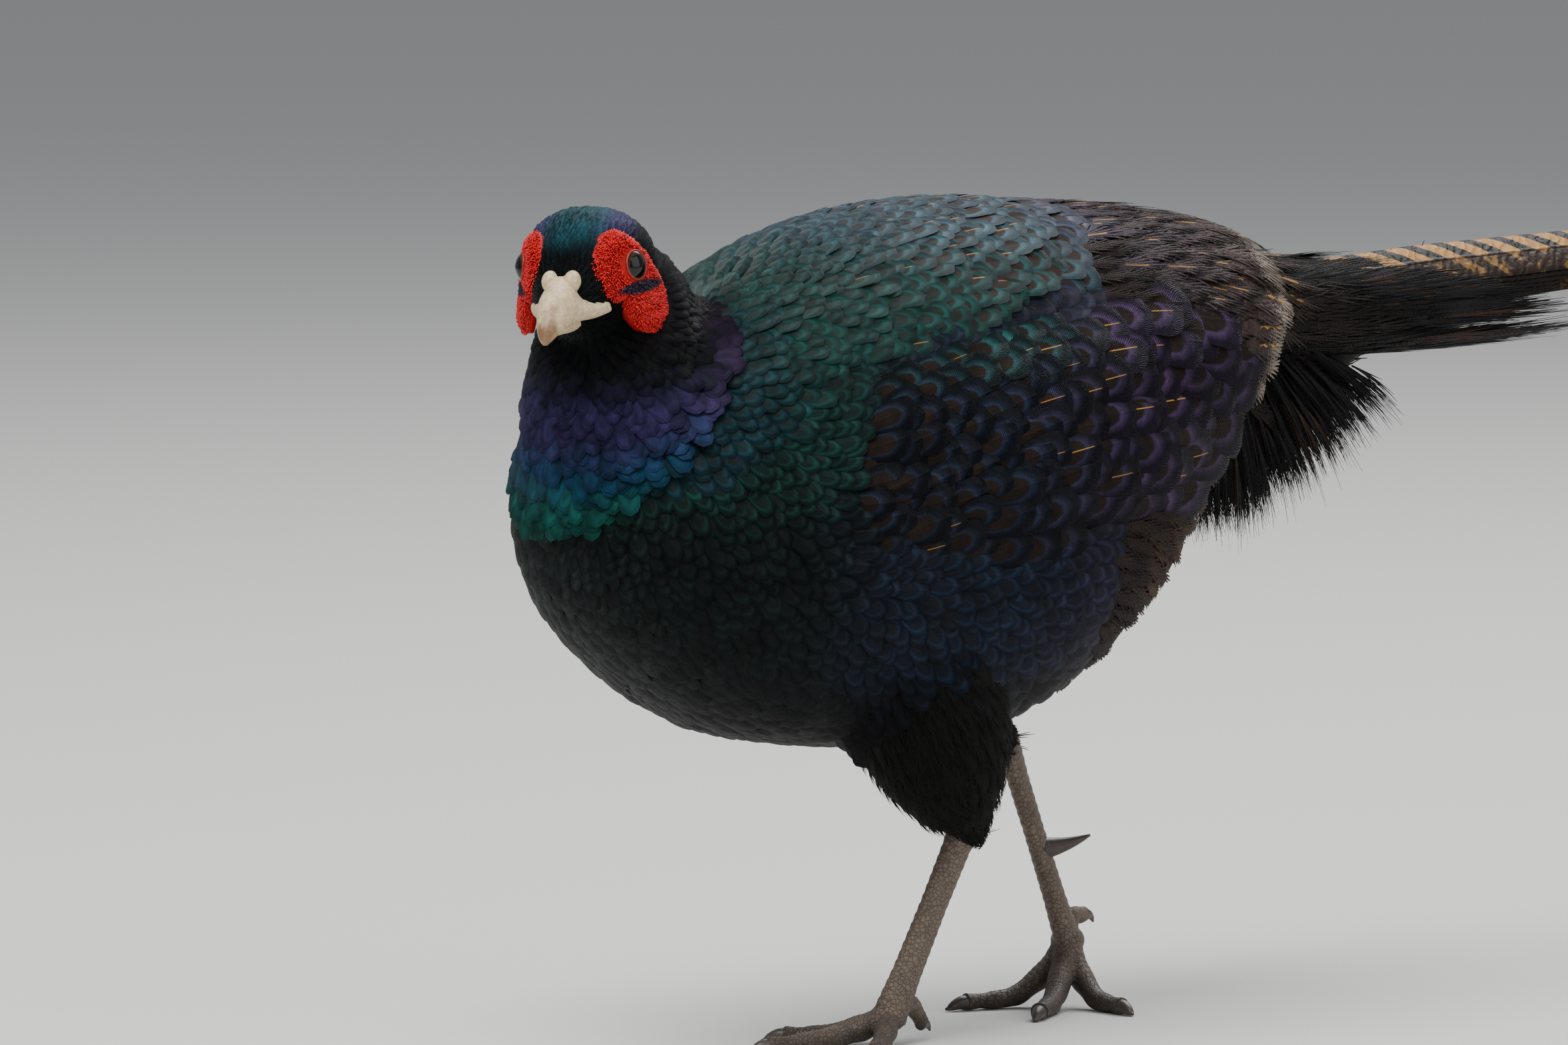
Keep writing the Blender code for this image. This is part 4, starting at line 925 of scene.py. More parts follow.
    def read(self, values: Array, places: Array, faces: Array) -> Array:
        """Values at places on the surface."""
        corners = self.tris[faces]
        a, b, c = (self.points[corners[:, k]] for k in range(3))
        ab, ac, ap = b - a, c - a, places - a
        d00, d01, d11 = (ab * ab).sum(1), (ab * ac).sum(1), (ac * ac).sum(1)
        d20, d21 = (ap * ab).sum(1), (ap * ac).sum(1)
        det = np.maximum(d00 * d11 - d01 * d01, 1e-20)
        v = (d11 * d20 - d01 * d21) / det
        w = (d00 * d21 - d01 * d20) / det
        shares = columns(1 - v - w, v, w)
        picked = values[corners]
        if picked.ndim == 2:
            return (picked * shares).sum(1)
        return (picked * shares[:, :, None]).sum(1)


class Region(Enum):
    """The parts of the plumage."""

    HEAD = 0
    NECK = 1
    MANTLE = 2
    BREAST = 3
    WING = 4
    RUMP = 5
    FLANK = 6
    THIGH = 7
    SLEEVE = 8


def wing_place(points: Array) -> tuple[Array, Array]:
    """Where points lie on the folded wing: along it and across it, each -1 to 1."""
    (y0, z0), (half_y, half_z) = WING_CENTRE, WING_HALF_SIZE
    along = (points[:, 1] - y0) / half_y
    across = (points[:, 2] - z0 - WING_SLOPE * (points[:, 1] - y0)) / half_z
    return along, across


@dataclass
class Skin:
    """One smooth skin under all the feathers."""

    voxel: float = 0.0023
    rounds: int = 6
    inset: float = 0.0016
    head_inset: float = 0.0006

    def torso(self) -> bpy.types.Mesh:
        """The trunk, with the bulk of the folded wings and of the rump's plumes on it."""
        c, s = oval(96, 2.2)
        rings = []
        for y, z, rise, drop, half in through(TORSO_SECTIONS, rounded(82)):
            rings.append(columns(half * c, y, z + np.where(s > 0, rise, drop) * s))
        mesh = loft("torso", rings)
        points = coordinates(mesh)
        normals = np.array([v.normal for v in mesh.vertices])
        along, across = wing_place(points)
        dome = np.clip(1 - abs(0.97 * along) ** 2.6, 0, 1) * np.clip(1 - abs(0.97 * across) ** 2.6, 0, 1)
        back = smooth(0.0, 0.05, points[:, 1]) * smooth(0.215, 0.25, points[:, 2])
        moved = points + normals * (WING_THICKNESS * dome * (abs(points[:, 0]) > 0.03) + 0.0050 * back)[:, None]
        reshape(mesh, moved)
        return mesh

    def neck(self) -> bpy.types.Mesh:
        """The neck, from inside the breast to inside the head."""
        c, s = oval(56)
        rings = [columns(x + wide * c, y + deep * s, z)
                 for x, y, z, wide, deep in through(NECK_SECTIONS, np.linspace(0, 1, 48))]
        return loft("neck", rings)

    def head(self) -> bpy.types.Mesh:
        """The head without bill, eyes and wattles."""
        c, s = oval(56, 2.15)
        rings = [columns(wide * c, y, z + high * s)
                 for y, z, high, wide in through(HEAD_SECTIONS, rounded(42))]
        return in_head(loft("head", rings))

    def sections(self, rows: Sequence[Sequence[float]]) -> bpy.types.Mesh:
        """Rings across the bird through sections of y, top, bottom and half width."""
        c, s = oval(48, 2.2)
        rings = []
        for y, top, bottom, half in through(rows, np.linspace(0, 1, 30)):
            rings.append(columns(half * c, y, (top + bottom) / 2 + (top - bottom) / 2 * s))
        return loft("sections", rings)

    def thighs(self) -> list[bpy.types.Mesh]:
        """The feathered thighs."""
        made = []
        for _, rows, *_ in LEGS.values():
            fine = through(rows, np.linspace(0, 1, 28))
            made.append(tube("thigh", fine[:, :3], fine[:, 3], 36))
        return made

    def build(self, finish: bpy.types.Material) -> tuple[bpy.types.Object, "Plumage"]:
        """Make the skin.

        Args:
            finish: the material of the down between the feathers; not used.

        Returns:
            The skin's object, and the plumage's map of it.
        """
        parts = [self.head(), self.neck(), self.torso(), *self.thighs()]
        parts += [self.sections(COVERT_SLEEVE), self.sections(COVERT_WEDGE)]
        mesh = melted("skin", parts, self.voxel, self.rounds)
        points = coordinates(mesh)
        normals = np.array([v.normal for v in mesh.vertices])
        on_head = smooth(0.050, 0.040, np.linalg.norm(head_places(points) - (0, 0.005, 0), axis=1))
        points -= normals * (self.inset + (self.head_inset - self.inset) * on_head)[:, None]
        reshape(mesh, points)
        thing = stage_object("skin", mesh)
        bpy.context.view_layer.objects.active = thing
        thing.select_set(True)
        bpy.ops.object.mode_set(mode="EDIT")
        bpy.ops.mesh.select_all(action="SELECT")
        mesh.uv_layers.new(name="OFBake")
        bpy.ops.uv.smart_project(angle_limit=math.radians(60), island_margin=0.003)
        bpy.ops.object.mode_set(mode="OBJECT")
        thing.select_set(False)
        plumage = Plumage(thing.data, parts)
        tint = thing.data.color_attributes.new("tint", "FLOAT_COLOR", "POINT")
        colours, _, _ = plumage.colours(plumage.surface.points, plumage.surface.normals, plumage.regions)
        opaque = np.hstack([colours, np.ones((len(colours), 1))])
        tint.data.foreach_set("color", opaque.astype(np.float32).ravel())
        return thing, plumage


def blend(a: Any, b: Any, share: Any) -> Array:
    """Colours between a and b."""
    share = np.asarray(share, float)[..., None]
    return np.asarray(a, float) * (1 - share) + np.asarray(b, float) * share


class Plumage:
    """Which part of the plumage each place of the skin belongs to, how its feathers run, and their colours."""

    def __init__(self, mesh: bpy.types.Mesh, parts: Sequence[bpy.types.Mesh]) -> None:
        """Map the skin.

        Args:
            mesh: the skin.
            parts: head, neck, trunk, two thighs, and the two forms of the tail coverts it was made from.
        """
        self.surface = Surface(mesh)
        s = self.surface
        trees = [BVHTree.FromPolygons([v.co for v in p.vertices], [tuple(q.vertices) for q in p.polygons])
                 for p in parts]
        depth = np.empty((len(s.points), len(parts)))
        for column, tree in enumerate(trees):
            for row, point in enumerate(s.points):
                at = Vector(point)
                place, normal, _, _ = tree.find_nearest(at)
                depth[row, column] = (at - place).dot(normal)
        self.depth = depth
        bare = head_places(s.points)[:, 1] < -0.0225
        bare &= np.linalg.norm(head_places(s.points), axis=1) < 0.05
        self.reach = s.eased(s.spread(bare), 6)
        self.way = self.flow()
        self.regions = self.region_of(s.points, self.depth, s.normals)
        layer = mesh.uv_layers["OFBake"].data
        flat = np.empty(len(layer) * 2, np.float32)
        layer.foreach_get("uv", flat)
        loops = np.empty(len(mesh.loop_triangles) * 3, np.int32)
        mesh.loop_triangles.foreach_get("loops", loops)
        self.patches = flat.reshape(-1, 2)[loops.reshape(-1, 3)].mean(1)

    def flow(self) -> Array:
        """The way the feathers run at each point of the skin."""
        s = self.surface
        p, n = s.points, s.normals
        way = s.slope(self.reach)
        along, across = wing_place(p)
        wing = smooth(1.35, 0.8, abs(along)) * smooth(1.5, 0.9, abs(across)) * (abs(p[:, 0]) > 0.03)
        rise = np.interp(p[:, 1], (-0.12, -0.05, 0.02, 0.08), (0.42, 0.22, 0.0, -0.12))
        lead = unit(columns(0.0, 1.0, rise))
        way = way * (1 - wing[:, None]) + lead * wing[:, None]
        back = smooth(0.0, 0.04, p[:, 1]) * smooth(0.215, 0.24, p[:, 2])
        way = way * (1 - back[:, None]) + np.array((0, 1.0, -0.05)) * back[:, None]
        tail = smooth(0.10, 0.13, p[:, 1]) * smooth(0.215, 0.235, p[:, 2])
        way = way * (1 - tail[:, None]) + np.array((0, 1.0, 0.0)) * tail[:, None]
        for _ in range(14):
            way = s.eased(way, 1)
            way = unit(way - n * (way * n).sum(1, keepdims=True))
        return way

    def region_of(self, p: Array, depth: Array, normals: Array) -> Array:
        """The part of the plumage at places of the skin.

        Args:
            p: the places.
            depth: their heights over the forms that the skin is made from.
            normals: the skin's normals there; not used.

        Returns:
            The number of each place's Region.
        """
        head, neck, trunk, left, right, sleeve, wedge = depth.T
        thigh = np.minimum(left, right)
        tail = np.minimum(sleeve, wedge)
        found = np.full(len(p), Region.BREAST.value)
        along, across = wing_place(p)
        mantle = (p[:, 2] > np.interp(p[:, 1], (-0.16, -0.12, -0.02), (0.205, 0.235, 0.262)))
        found[mantle] = Region.MANTLE.value
        wing = (abs(along) ** 2.6 + abs(across) ** 2.6 < 1.12) & (abs(p[:, 0]) > 0.03)
        found[wing] = Region.WING.value
        low = np.interp(p[:, 1], *RUMP_EDGE)
        found[(p[:, 1] > 0.004) & (p[:, 2] > low) & ~wing] = Region.RUMP.value
        flank = (p[:, 1] > -0.005) & (p[:, 2] < low) & ~wing
        found[flank] = Region.FLANK.value
        found[(tail < trunk) & (p[:, 1] > 0.07)] = Region.SLEEVE.value
        found[p[:, 1] > 0.180 - 0.050 * smooth(0.245, 0.262, p[:, 2])] = -1
        found[(thigh < trunk) & (p[:, 2] < 0.15)] = Region.THIGH.value
        found[(neck < trunk) & (p[:, 2] > 0.19)] = Region.NECK.value
        found[(head < neck) & (head < trunk)] = Region.HEAD.value
        return found

    def colours(self, p: Array, n: Array, regions: Array) -> tuple[Array, Array, Array]:
        """The colours of feathers rooted at places of the skin.

        Args:
            p: the places.
            n: the skin's normals there; not used.
            regions: the numbers of the places' regions.

        Returns:
            Rim colours, centre colours, and for each feather how likely a gold shaft is, and the strengths
            of its centre, its metallic gloss and its pale tip.
        """
        x, y, z = p.T
        count = len(p)
        tint, core = np.zeros((count, 3)), np.tile((0.030, 0.017, 0.011), (count, 1))
        mark = np.tile((0.0, 0.6, 1.0, 0.0), (count, 1))
        h = head_places(p)

        def put(region: Region, tints: Any, cores: Any, marks: Any) -> None:
            """Set the values of one region."""
            rows = regions == region.value
            tint[rows], core[rows] = (np.broadcast_to(v, (count, 3))[rows] for v in (tints, cores))
            mark[rows] = np.broadcast_to(marks, (count, 4))[rows]

        crown = smooth(0.006, 0.014, h[:, 2])
        cap = blend((0.010, 0.085, 0.110), (0.060, 0.048, 0.170), smooth(0.25, 0.70, abs(h[:, 0]) / 0.022))
        cap = blend(cap, (0.020, 0.018, 0.040), smooth(0.012, 0.026, h[:, 1]))
        head = blend((0.003, 0.005, 0.006), cap, crown * smooth(-0.020, -0.010, h[:, 1]))
        head = blend(head, (0.003, 0.008, 0.006), smooth(-0.008, -0.018, h[:, 2]))
        put(Region.HEAD, head, (0.003, 0.004, 0.005), (0.0, 0.30, 1.0, 0.0))

        front = smooth(0.015, -0.030, (y + 0.155) - 0.20 * x)
        low = z - 0.16 * (y + 0.155)
        neck = blend((0.046, 0.022, 0.050), (0.034, 0.026, 0.092), front)
        neck = blend(neck, (0.012, 0.050, 0.115), smooth(0.234, 0.219, low))
        neck = blend(neck, (0.005, 0.090, 0.072), smooth(0.222, 0.207, low))
        neck = blend(neck, (0.003, 0.013, 0.009), smooth(0.233, 0.247, z) * smooth(0.2, 0.7, front))
        neck = blend(neck, (0.008, 0.006, 0.007), smooth(0.240, 0.262, z + 0.010 * front))
        put(Region.NECK, neck, (0.006, 0.010, 0.020), (0.0, 0.30, 1.0, 0.0))

        lateral = smooth(0.038, 0.072, abs(x))
        breast = blend((0.0025, 0.009, 0.008), (0.007, 0.016, 0.035), lateral * smooth(-0.15, -0.09, y))
        breast = blend(breast, (0.020, 0.014, 0.042), lateral * smooth(-0.06, -0.005, y) * 0.85)
        breast = blend(breast, (0.005, 0.038, 0.030), smooth(0.186, 0.208, z) * smooth(-0.09, -0.13, y))
        breast = blend(breast, (0.003, 0.003, 0.004), smooth(0.145, 0.115, z))
        put(Region.BREAST, breast, (0.004, 0.004, 0.006), (0.0, 0.60, 1.0, 0.0))

        # The top of the back turns bluer grey: a painted sheen of the sky over the mantle's own teal.
        top = smooth(0.26, 0.29, z)
        mantle = blend((0.005, 0.048, 0.040), (0.022, 0.058, 0.082), top)
        mantle = blend(mantle, (0.006, 0.034, 0.044), smooth(-0.12, -0.16, y))
        mantle = blend(mantle, (0.040, 0.042, 0.078), smooth(-0.030, 0.010, y))
        grown = smooth(-0.115, -0.035, y)
        marks = columns(0.26 * grown, 0.45 + 0.55 * grown, 0.9, 0.0)
        put(Region.MANTLE, mantle, (0.022, 0.010, 0.006), marks)

        along, across = wing_place(p)
        rear = smooth(-0.5, 0.4, along)
        wing = blend((0.004, 0.009, 0.020), (0.027, 0.014, 0.038), rear)
        wing = blend(wing, (0.006, 0.045, 0.042), smooth(0.45, 0.95, across) * smooth(0.2, -0.3, along))
        wing = blend(wing, (0.006, 0.008, 0.014), smooth(-0.4, -0.9, along) * 0.6)
        marks = columns(0.10 + 0.24 * rear, 1.0, 0.8, 0.0)
        put(Region.WING, wing, (0.014, 0.008, 0.005), marks)

        rump = blend((0.048, 0.033, 0.046), (0.044, 0.029, 0.024), smooth(0.03, 0.08, y))
        rump = blend(rump, (0.044, 0.042, 0.078), smooth(0.03, 0.0, y))
        put(Region.RUMP, rump, (0.036, 0.021, 0.015), (0.45, 0.5, 0.3, 0.0))

        pale = smooth(0.0, 0.04, y) * smooth(0.20, 0.16, z)
        flank = blend((0.018, 0.010, 0.010), (0.120, 0.066, 0.030), pale)
        flank = blend(flank, (0.008, 0.006, 0.005), smooth(0.145, 0.12, z))
        put(Region.FLANK, flank, (0.016, 0.009, 0.006), (0.0, 0.5, 0.2, 0.0))
        put(Region.THIGH, (0.004, 0.0035, 0.003), (0.004, 0.003, 0.0025), (0.0, 0.4, 0.1, 0.0))
        put(Region.SLEEVE, (0.009, 0.007, 0.007), (0.018, 0.010, 0.006), (0.0, 0.4, 0.2, 0.0))
        return tint, core, mark


@dataclass
class Roots:
    """Where feathers grow, which way they run and how they bend and look: a row for each feather."""

    root: Array
    way: Array
    up: Array
    size: Array
    bend: Array
    tint: Array
    core: Array
    mark: Array
    patch: Array

    def __len__(self) -> int:
        """How many feathers there are."""
        return len(self.root)

    def picked(self, rows: Array) -> "Roots":
        """Only the rows given."""
        return Roots(**{name: getattr(self, name)[rows] for name in self.__dataclass_fields__})

    @staticmethod
    def joined(groups: Sequence["Roots"]) -> "Roots":
        """All the rows of several groups."""
        names = groups[0].__dataclass_fields__
        return Roots(**{name: np.concatenate([getattr(g, name) for g in groups]) for name in names})


@dataclass(frozen=True)
class Vane:
    """A closed thin vane, one long and one wide each way, for the coat to repeat."""

    name: str
    rows: int = 6
    across: int = 4
    root_width: float = 0.35
    fullest: float = 0.6
    tip: float = 0.0
    notches: float = 0.0
    seed: int = 1

    def outline(self, t: Array) -> Array:
        """Half width along it."""
        rise = self.root_width + (1 - self.root_width) * np.sin(np.clip(t / self.fullest, 0, 1) * np.pi / 2)
        fall = np.clip((t - self.fullest) / (1 - self.fullest), 0, 1)
        return rise * (self.tip + (1 - self.tip) * np.sqrt(np.clip(1 - fall**2, 0, 1)))

    def make(self) -> bpy.types.Object:
        """The vane as a hidden object with its own pattern map."""
        chance = np.random.default_rng(self.seed)
        t = np.sin(np.linspace(0, 1, self.rows + 1) * np.pi / 2) * 0.5 + np.linspace(0, 1, self.rows + 1) * 0.5
        columns = np.linspace(-1, 1, self.across + 1)
        points, maps = [], []
        for i, along in enumerate(t[:-1]):
            wide = float(self.outline(np.array(along)))
            for a in columns:
                ragged = 1 - self.notches * chance.random() * (abs(a) > 0.9) * (i > 1)
                points.append((a * wide * ragged, along, 0.5 * (1 - a * a)))
                maps.append((0.5 + 0.5 * a, along))
        tip = len(points)
        points.append((0.0, 1.0, 0.0))
        maps.append((0.5, 1.0))
        wide = self.across + 1
        faces = []
        for i in range(self.rows - 1):
            for j in range(self.across):
                a = i * wide + j
                faces.append((a, a + 1, a + 1 + wide, a + wide))
            faces.append((i * wide, (i + 1) * wide, (i + 1) * wide + self.across, i * wide + self.across))
        last = (self.rows - 1) * wide
        faces += [(last + j, last + j + 1, tip) for j in range(self.across)]
        faces.append((last + self.across, last, tip))
        faces.append(tuple(range(self.across + 1))[::-1])
        return hidden_shape(self.name, points, faces, maps, True)


@dataclass(frozen=True)
class Plume:
    """A loose plume of thin strands that fan from one shaft."""

    name: str
    strands: int = 5
    spread: float = 1.0
    rows: int = 3
    strand_width: float = 0.13
    seed: int = 2

    def make(self) -> bpy.types.Object:
        """The plume as a hidden object with its own pattern map."""
        chance = np.random.default_rng(self.seed)
        points, faces, maps = [], [], []
        for number in range(self.strands):
            share = (number + 0.5) / self.strands * 2 - 1
            length = 1 - 0.42 * abs(share) ** 1.3 - 0.10 * chance.random()
            start = 0.42 * (1 - abs(share)) * chance.random()
            base = len(points)
            for i in range(self.rows + 1):
                s = i / self.rows
                along = start * 0.5 + (length - start * 0.5) * s
                middle = share * self.spread * (0.25 * s + 0.75 * s * s) + 0.05 * (chance.random() - 0.5)
                half = self.strand_width * (1 - 0.8 * s**1.5)
                for a, lift in ((-1, 0.0), (1, 0.0), (0, 0.5)):
                    points.append((middle + a * half, along, lift * (1 - s) + 0.1 * share))
                    maps.append((min(1.0, max(0.0, 0.5 + 0.5 * middle)), along))
            for i in range(self.rows):
                a, b = base + 3 * i, base + 3 * i + 3
                faces += [(a + 1, a, b, b + 1), (a, a + 2, b + 2, b), (a + 2, a + 1, b + 1, b + 2)]
            end = base + 3 * self.rows
            faces += [(base, base + 1, base + 2), (end, end + 2, end + 1)]
        return hidden_shape(self.name, points, faces, maps)


def hidden_shape(name: str, points: Sequence[tuple], faces: Sequence[tuple], maps: Sequence[tuple],
                 crisp: bool = False) -> bpy.types.Object:
    """An object for the coat to repeat, linked to no scene, with a map for its pattern.

    Args:
        name: the object's name.
        points: its corners.
        faces: corner numbers of each face, either way round.
        maps: the place on the pattern of each corner.
        crisp: whether its outline stays sharp when the faces are shaded smooth.

    Returns:
        The object.
    """
    mesh = bpy.data.meshes.new(name)
    mesh.from_pydata(points, [], faces)
    work = bmesh.new()
    work.from_mesh(mesh)
    bmesh.ops.recalc_face_normals(work, faces=work.faces[:])
    if crisp:
        for edge in work.edges:
            edge.smooth = edge.calc_face_angle(0.0) < math.radians(80)
    work.to_mesh(mesh)
    work.free()
    mapped(mesh, maps)
    mesh.polygons.foreach_set("use_smooth", np.ones(len(mesh.polygons), bool))
    return bpy.data.objects.new(name, mesh)


class Coat:
    """Grows feathers: one node tree repeats a shape on every root and bends each to its place."""

    HELPERS = ("root", "way", "up", "size", "bend", "patch", "grain")

    def __init__(self) -> None:
        """Build the tree."""
        group = bpy.data.node_groups.new("coat", "GeometryNodeTree")
        face = group.interface
        face.new_socket("Geometry", in_out="INPUT", socket_type="NodeSocketGeometry")
        self.sockets = {}
        for name, kind in (("Feather", "Object"), ("Finish", "Material"), ("Patch", "Float"),
                           ("Unevenness", "Float"), ("Camber", "Float"), ("Seed", "Int")):
            given = face.new_socket(name, in_out="INPUT", socket_type="NodeSocket" + kind)
            self.sockets[name] = given.identifier
        face.new_socket("Geometry", in_out="OUTPUT", socket_type="NodeSocketGeometry")
        self.group = group
        t = Tree(group)
        given = t.add("NodeGroupInput").outputs

        def named(name: str, kind: str = "FLOAT_VECTOR") -> Socket:
            """An attribute of the geometry."""
            return t.add("GeometryNodeInputNamedAttribute", {"Name": name}, data_type=kind).outputs[0]

        chance = t.add("FunctionNodeRandomValue", {"Seed": given["Seed"]}, data_type="FLOAT").outputs[1]
        swing = t.times(t.minus(chance, 0.5), given["Unevenness"])
        grained = t.add("GeometryNodeStoreNamedAttribute", {"Geometry": given["Geometry"], "Name": "grain",
                                                            "Value": swing}, data_type="FLOAT", domain="POINT")
        shape = t.add("GeometryNodeObjectInfo", {"Object": given["Feather"]}, transform_space="ORIGINAL")
        placed = t.add("GeometryNodeInstanceOnPoints", {"Points": grained.outputs[0],
                                                        "Instance": shape.outputs["Geometry"]})
        real = t.add("GeometryNodeRealizeInstances", {0: placed.outputs[0]})
        across, along, _ = t.split(named("Feather"))
        spot = t.join(t.times(t.minus(across, 0.5), given["Patch"]),
                      t.times(t.minus(along, 0.5), given["Patch"]))
        inputs = {"Geometry": real.outputs[0], "Name": "OFBake", "Value": t.vector("ADD", named("patch"), spot)}
        baked = t.add("GeometryNodeStoreNamedAttribute", inputs, data_type="FLOAT2", domain="CORNER")
        root, way, up, size, bend = (named(n) for n in ("root", "way", "up", "size", "bend"))
        grain = named("grain", "FLOAT")
        a, l, lens = t.split(t.vector("SUBTRACT", t.add("GeometryNodeInputPosition").outputs[0], root))
        length, width, thick = t.split(size)
        pitch, curl, drift = t.split(bend)
        length = t.times(length, t.plus(1.0, grain))
        s = t.times(l, length)
        angle = t.minus(pitch, t.times(t.times(curl, l), 0.5))
        forward = t.times(s, t.math("COSINE", angle))
        half = t.times(t.times(a, width), 0.5)
        camber = t.times(t.times(a, half), given["Camber"])
        rise = t.plus(t.times(s, t.math("SINE", angle)), t.times(lens, thick))
        rise = t.minus(rise, camber)
        rise = t.plus(rise, t.times(t.times(half, grain), 1.4))
        aside = t.plus(half, t.times(t.times(l, s), drift))
        side = t.vector("CROSS_PRODUCT", way, up)
        place = t.vector("ADD", root, t.vector("SCALE", way, forward))
        place = t.vector("ADD", place, t.vector("SCALE", up, rise))
        place = t.vector("ADD", place, t.vector("SCALE", side, aside))
        moved = t.add("GeometryNodeSetPosition", {"Geometry": baked.outputs[0], "Position": place})
        dressed = t.add("GeometryNodeSetMaterial", {"Geometry": moved.outputs[0], "Material": given["Finish"]})
        t.add("NodeGroupOutput", {0: dressed.outputs[0]})

    def grow(self, name: str, roots: Roots, shape: bpy.types.Object, finish: bpy.types.Material,
             seed: int, unevenness: float = 0.2, camber: float = 0.1) -> bpy.types.Object:
        """Grow one group of feathers.

        Args:
            name: the piece's name.
            roots: where they grow.
            shape: the shape repeated.
            finish: their material.
            seed: sets their small differences.
            unevenness: how much their lengths differ.
            camber: how far their sides bend down, as a share of the half width.

        Returns:
            The piece, as a plain mesh.
        """
        mesh = bpy.data.meshes.new(name)
        mesh.from_pydata([tuple(p) for p in roots.root], [], [])
        for key in ("root", "way", "up", "size", "bend", "patch"):
            layer = mesh.attributes.new(key, "FLOAT_VECTOR", "POINT")
            layer.data.foreach_set("vector", getattr(roots, key).astype(np.float32).ravel())
        for key in ("tint", "core", "mark"):
            layer = mesh.attributes.new(key, "FLOAT_COLOR", "POINT")
            rows = getattr(roots, key)
            rows = rows if rows.shape[1] == 4 else np.hstack([rows, np.ones((len(roots), 1))])
            layer.data.foreach_set("color", rows.astype(np.float32).ravel())
        thing = stage_object(name, mesh)
        grow = thing.modifiers.new("coat", "NODES")
        grow.node_group = self.group
        for key, value in (("Feather", shape), ("Finish", finish), ("Patch", 0.003),
                           ("Unevenness", unevenness), ("Camber", camber), ("Seed", seed)):
            grow[self.sockets[key]] = value
        settled(thing)
        for key in self.HELPERS:
            layer = thing.data.attributes.get(key)
            if layer is not None:
                thing.data.attributes.remove(layer)
        return thing


@dataclass(frozen=True)
class Tract:
    """How one part's feathers are set: each pair is the value near the face and far from it."""

    region: Region
    step: tuple[float, float]
    spacing: tuple[float, float]
    length: tuple[float, float]
    width: tuple[float, float]
    thickness: float = 0.00025
    lift: tuple[float, float] = (0.0010, 0.0014)
    unruly: float = 0.10
    bend: float = 3.0
    crease: float = 0.0

    def rows(self, plumage: Plumage, chance: np.random.Generator) -> tuple[Array, Array, Array, Array]:
        """Set roots in staggered rows round the skin.

        Args:
            plumage: the map of the skin.
            chance: for the small differences.

        Returns:
            The roots' places, the ways the feathers run, the skin's normals and the share of the way
            through the tract.
        """
        s = plumage.surface
        own = plumage.regions == self.region.value
        first, last = np.percentile(plumage.reach[own], (0.5, 99.8))
        level, number = float(first), 0
        found: list[tuple] = []
        while level < last:
            share = (level - first) / (last - first)
            for chain in s.loops(plumage.reach, level):
                if len(chain) < 4:
                    continue
                ends = s.edges[chain]
                low, high = plumage.reach[ends[:, 0]], plumage.reach[ends[:, 1]]
                t = ((level - low) / np.where(high == low, 1, high - low))[:, None]
                pick = lambda values: values[ends[:, 0]] * (1 - t) + values[ends[:, 1]] * t
                places, ways, ups, depth = map(pick, (s.points, plumage.way, s.normals, plumage.depth))
                start = int(np.argmax(places[:, 2] - 6 * abs(places[:, 0])))
                order = np.r_[start:len(chain), 0:start + 1]
                places, ways, ups, depth = places[order], ways[order], ups[order], depth[order]
                run = np.r_[0, np.cumsum(np.linalg.norm(np.diff(places, axis=0), axis=1))]
                spacing = self.spacing[0] + (self.spacing[1] - self.spacing[0]) * share * (not self.crease)
                count = max(1, int(round(run[-1] / spacing)))
                at = (np.arange(count) + 0.5 * (number % 2)) / count * run[-1]
                at = at + (chance.random(count) - 0.5) * spacing * self.unruly * 2
                at = np.clip(at, 0, run[-1])
                take = lambda values: columns(*[np.interp(at, run, column) for column in values.T])
                found.append((take(places), take(ways), take(ups), take(depth), np.full(count, share)))
            level += self.step[0] + (self.step[1] - self.step[0]) * share * (not self.crease)
            number += 1
        places, ways, ups, depth, shares = (np.concatenate(column) for column in zip(*found))
        keep = plumage.region_of(places, depth, ups) == self.region.value
        if self.crease:
            shares = (1 - smooth(0.002, self.crease, depth[:, 2])) * smooth(0.264, 0.238, places[:, 2])
            keep &= chance.random(len(places)) < (1.0 + (self.step[0] / self.step[1] - 1.0) * shares)
        return places[keep], unit(ways[keep]), unit(ups[keep]), shares[keep]

    def roots(self, plumage: Plumage, seed: int, clear: Callable[[Array, Array], Array]) -> Roots:
        """Where this tract's feathers grow.

        Args:
            plumage: the map of the skin.
            seed: for the small differences.
            clear: tells which places may carry feathers of those lengths.

        Returns:
            The roots.
        """
        chance = np.random.default_rng(seed)
        places, ways, ups, shares = self.rows(plumage, chance)
        scale = 1 + 0.16 * (chance.random(len(places)) - 0.5)
        length = (self.length[0] + (self.length[1] - self.length[0]) * shares) * scale
        width = (self.width[0] + (self.width[1] - self.width[0]) * shares) * scale
        lift = self.lift[0] + (self.lift[1] - self.lift[0]) * shares
        keep = clear(places, length)
        places, ways, ups, length, width, lift = (a[keep] for a in (places, ways, ups, length, width, lift))
        places = places + ways * (chance.random((len(places), 1)) - 0.5) * length[:, None] * self.unruly
        return lay(plumage, places, ways, ups, length, width, self.thickness, lift, self.unruly, chance,
                   self.bend)


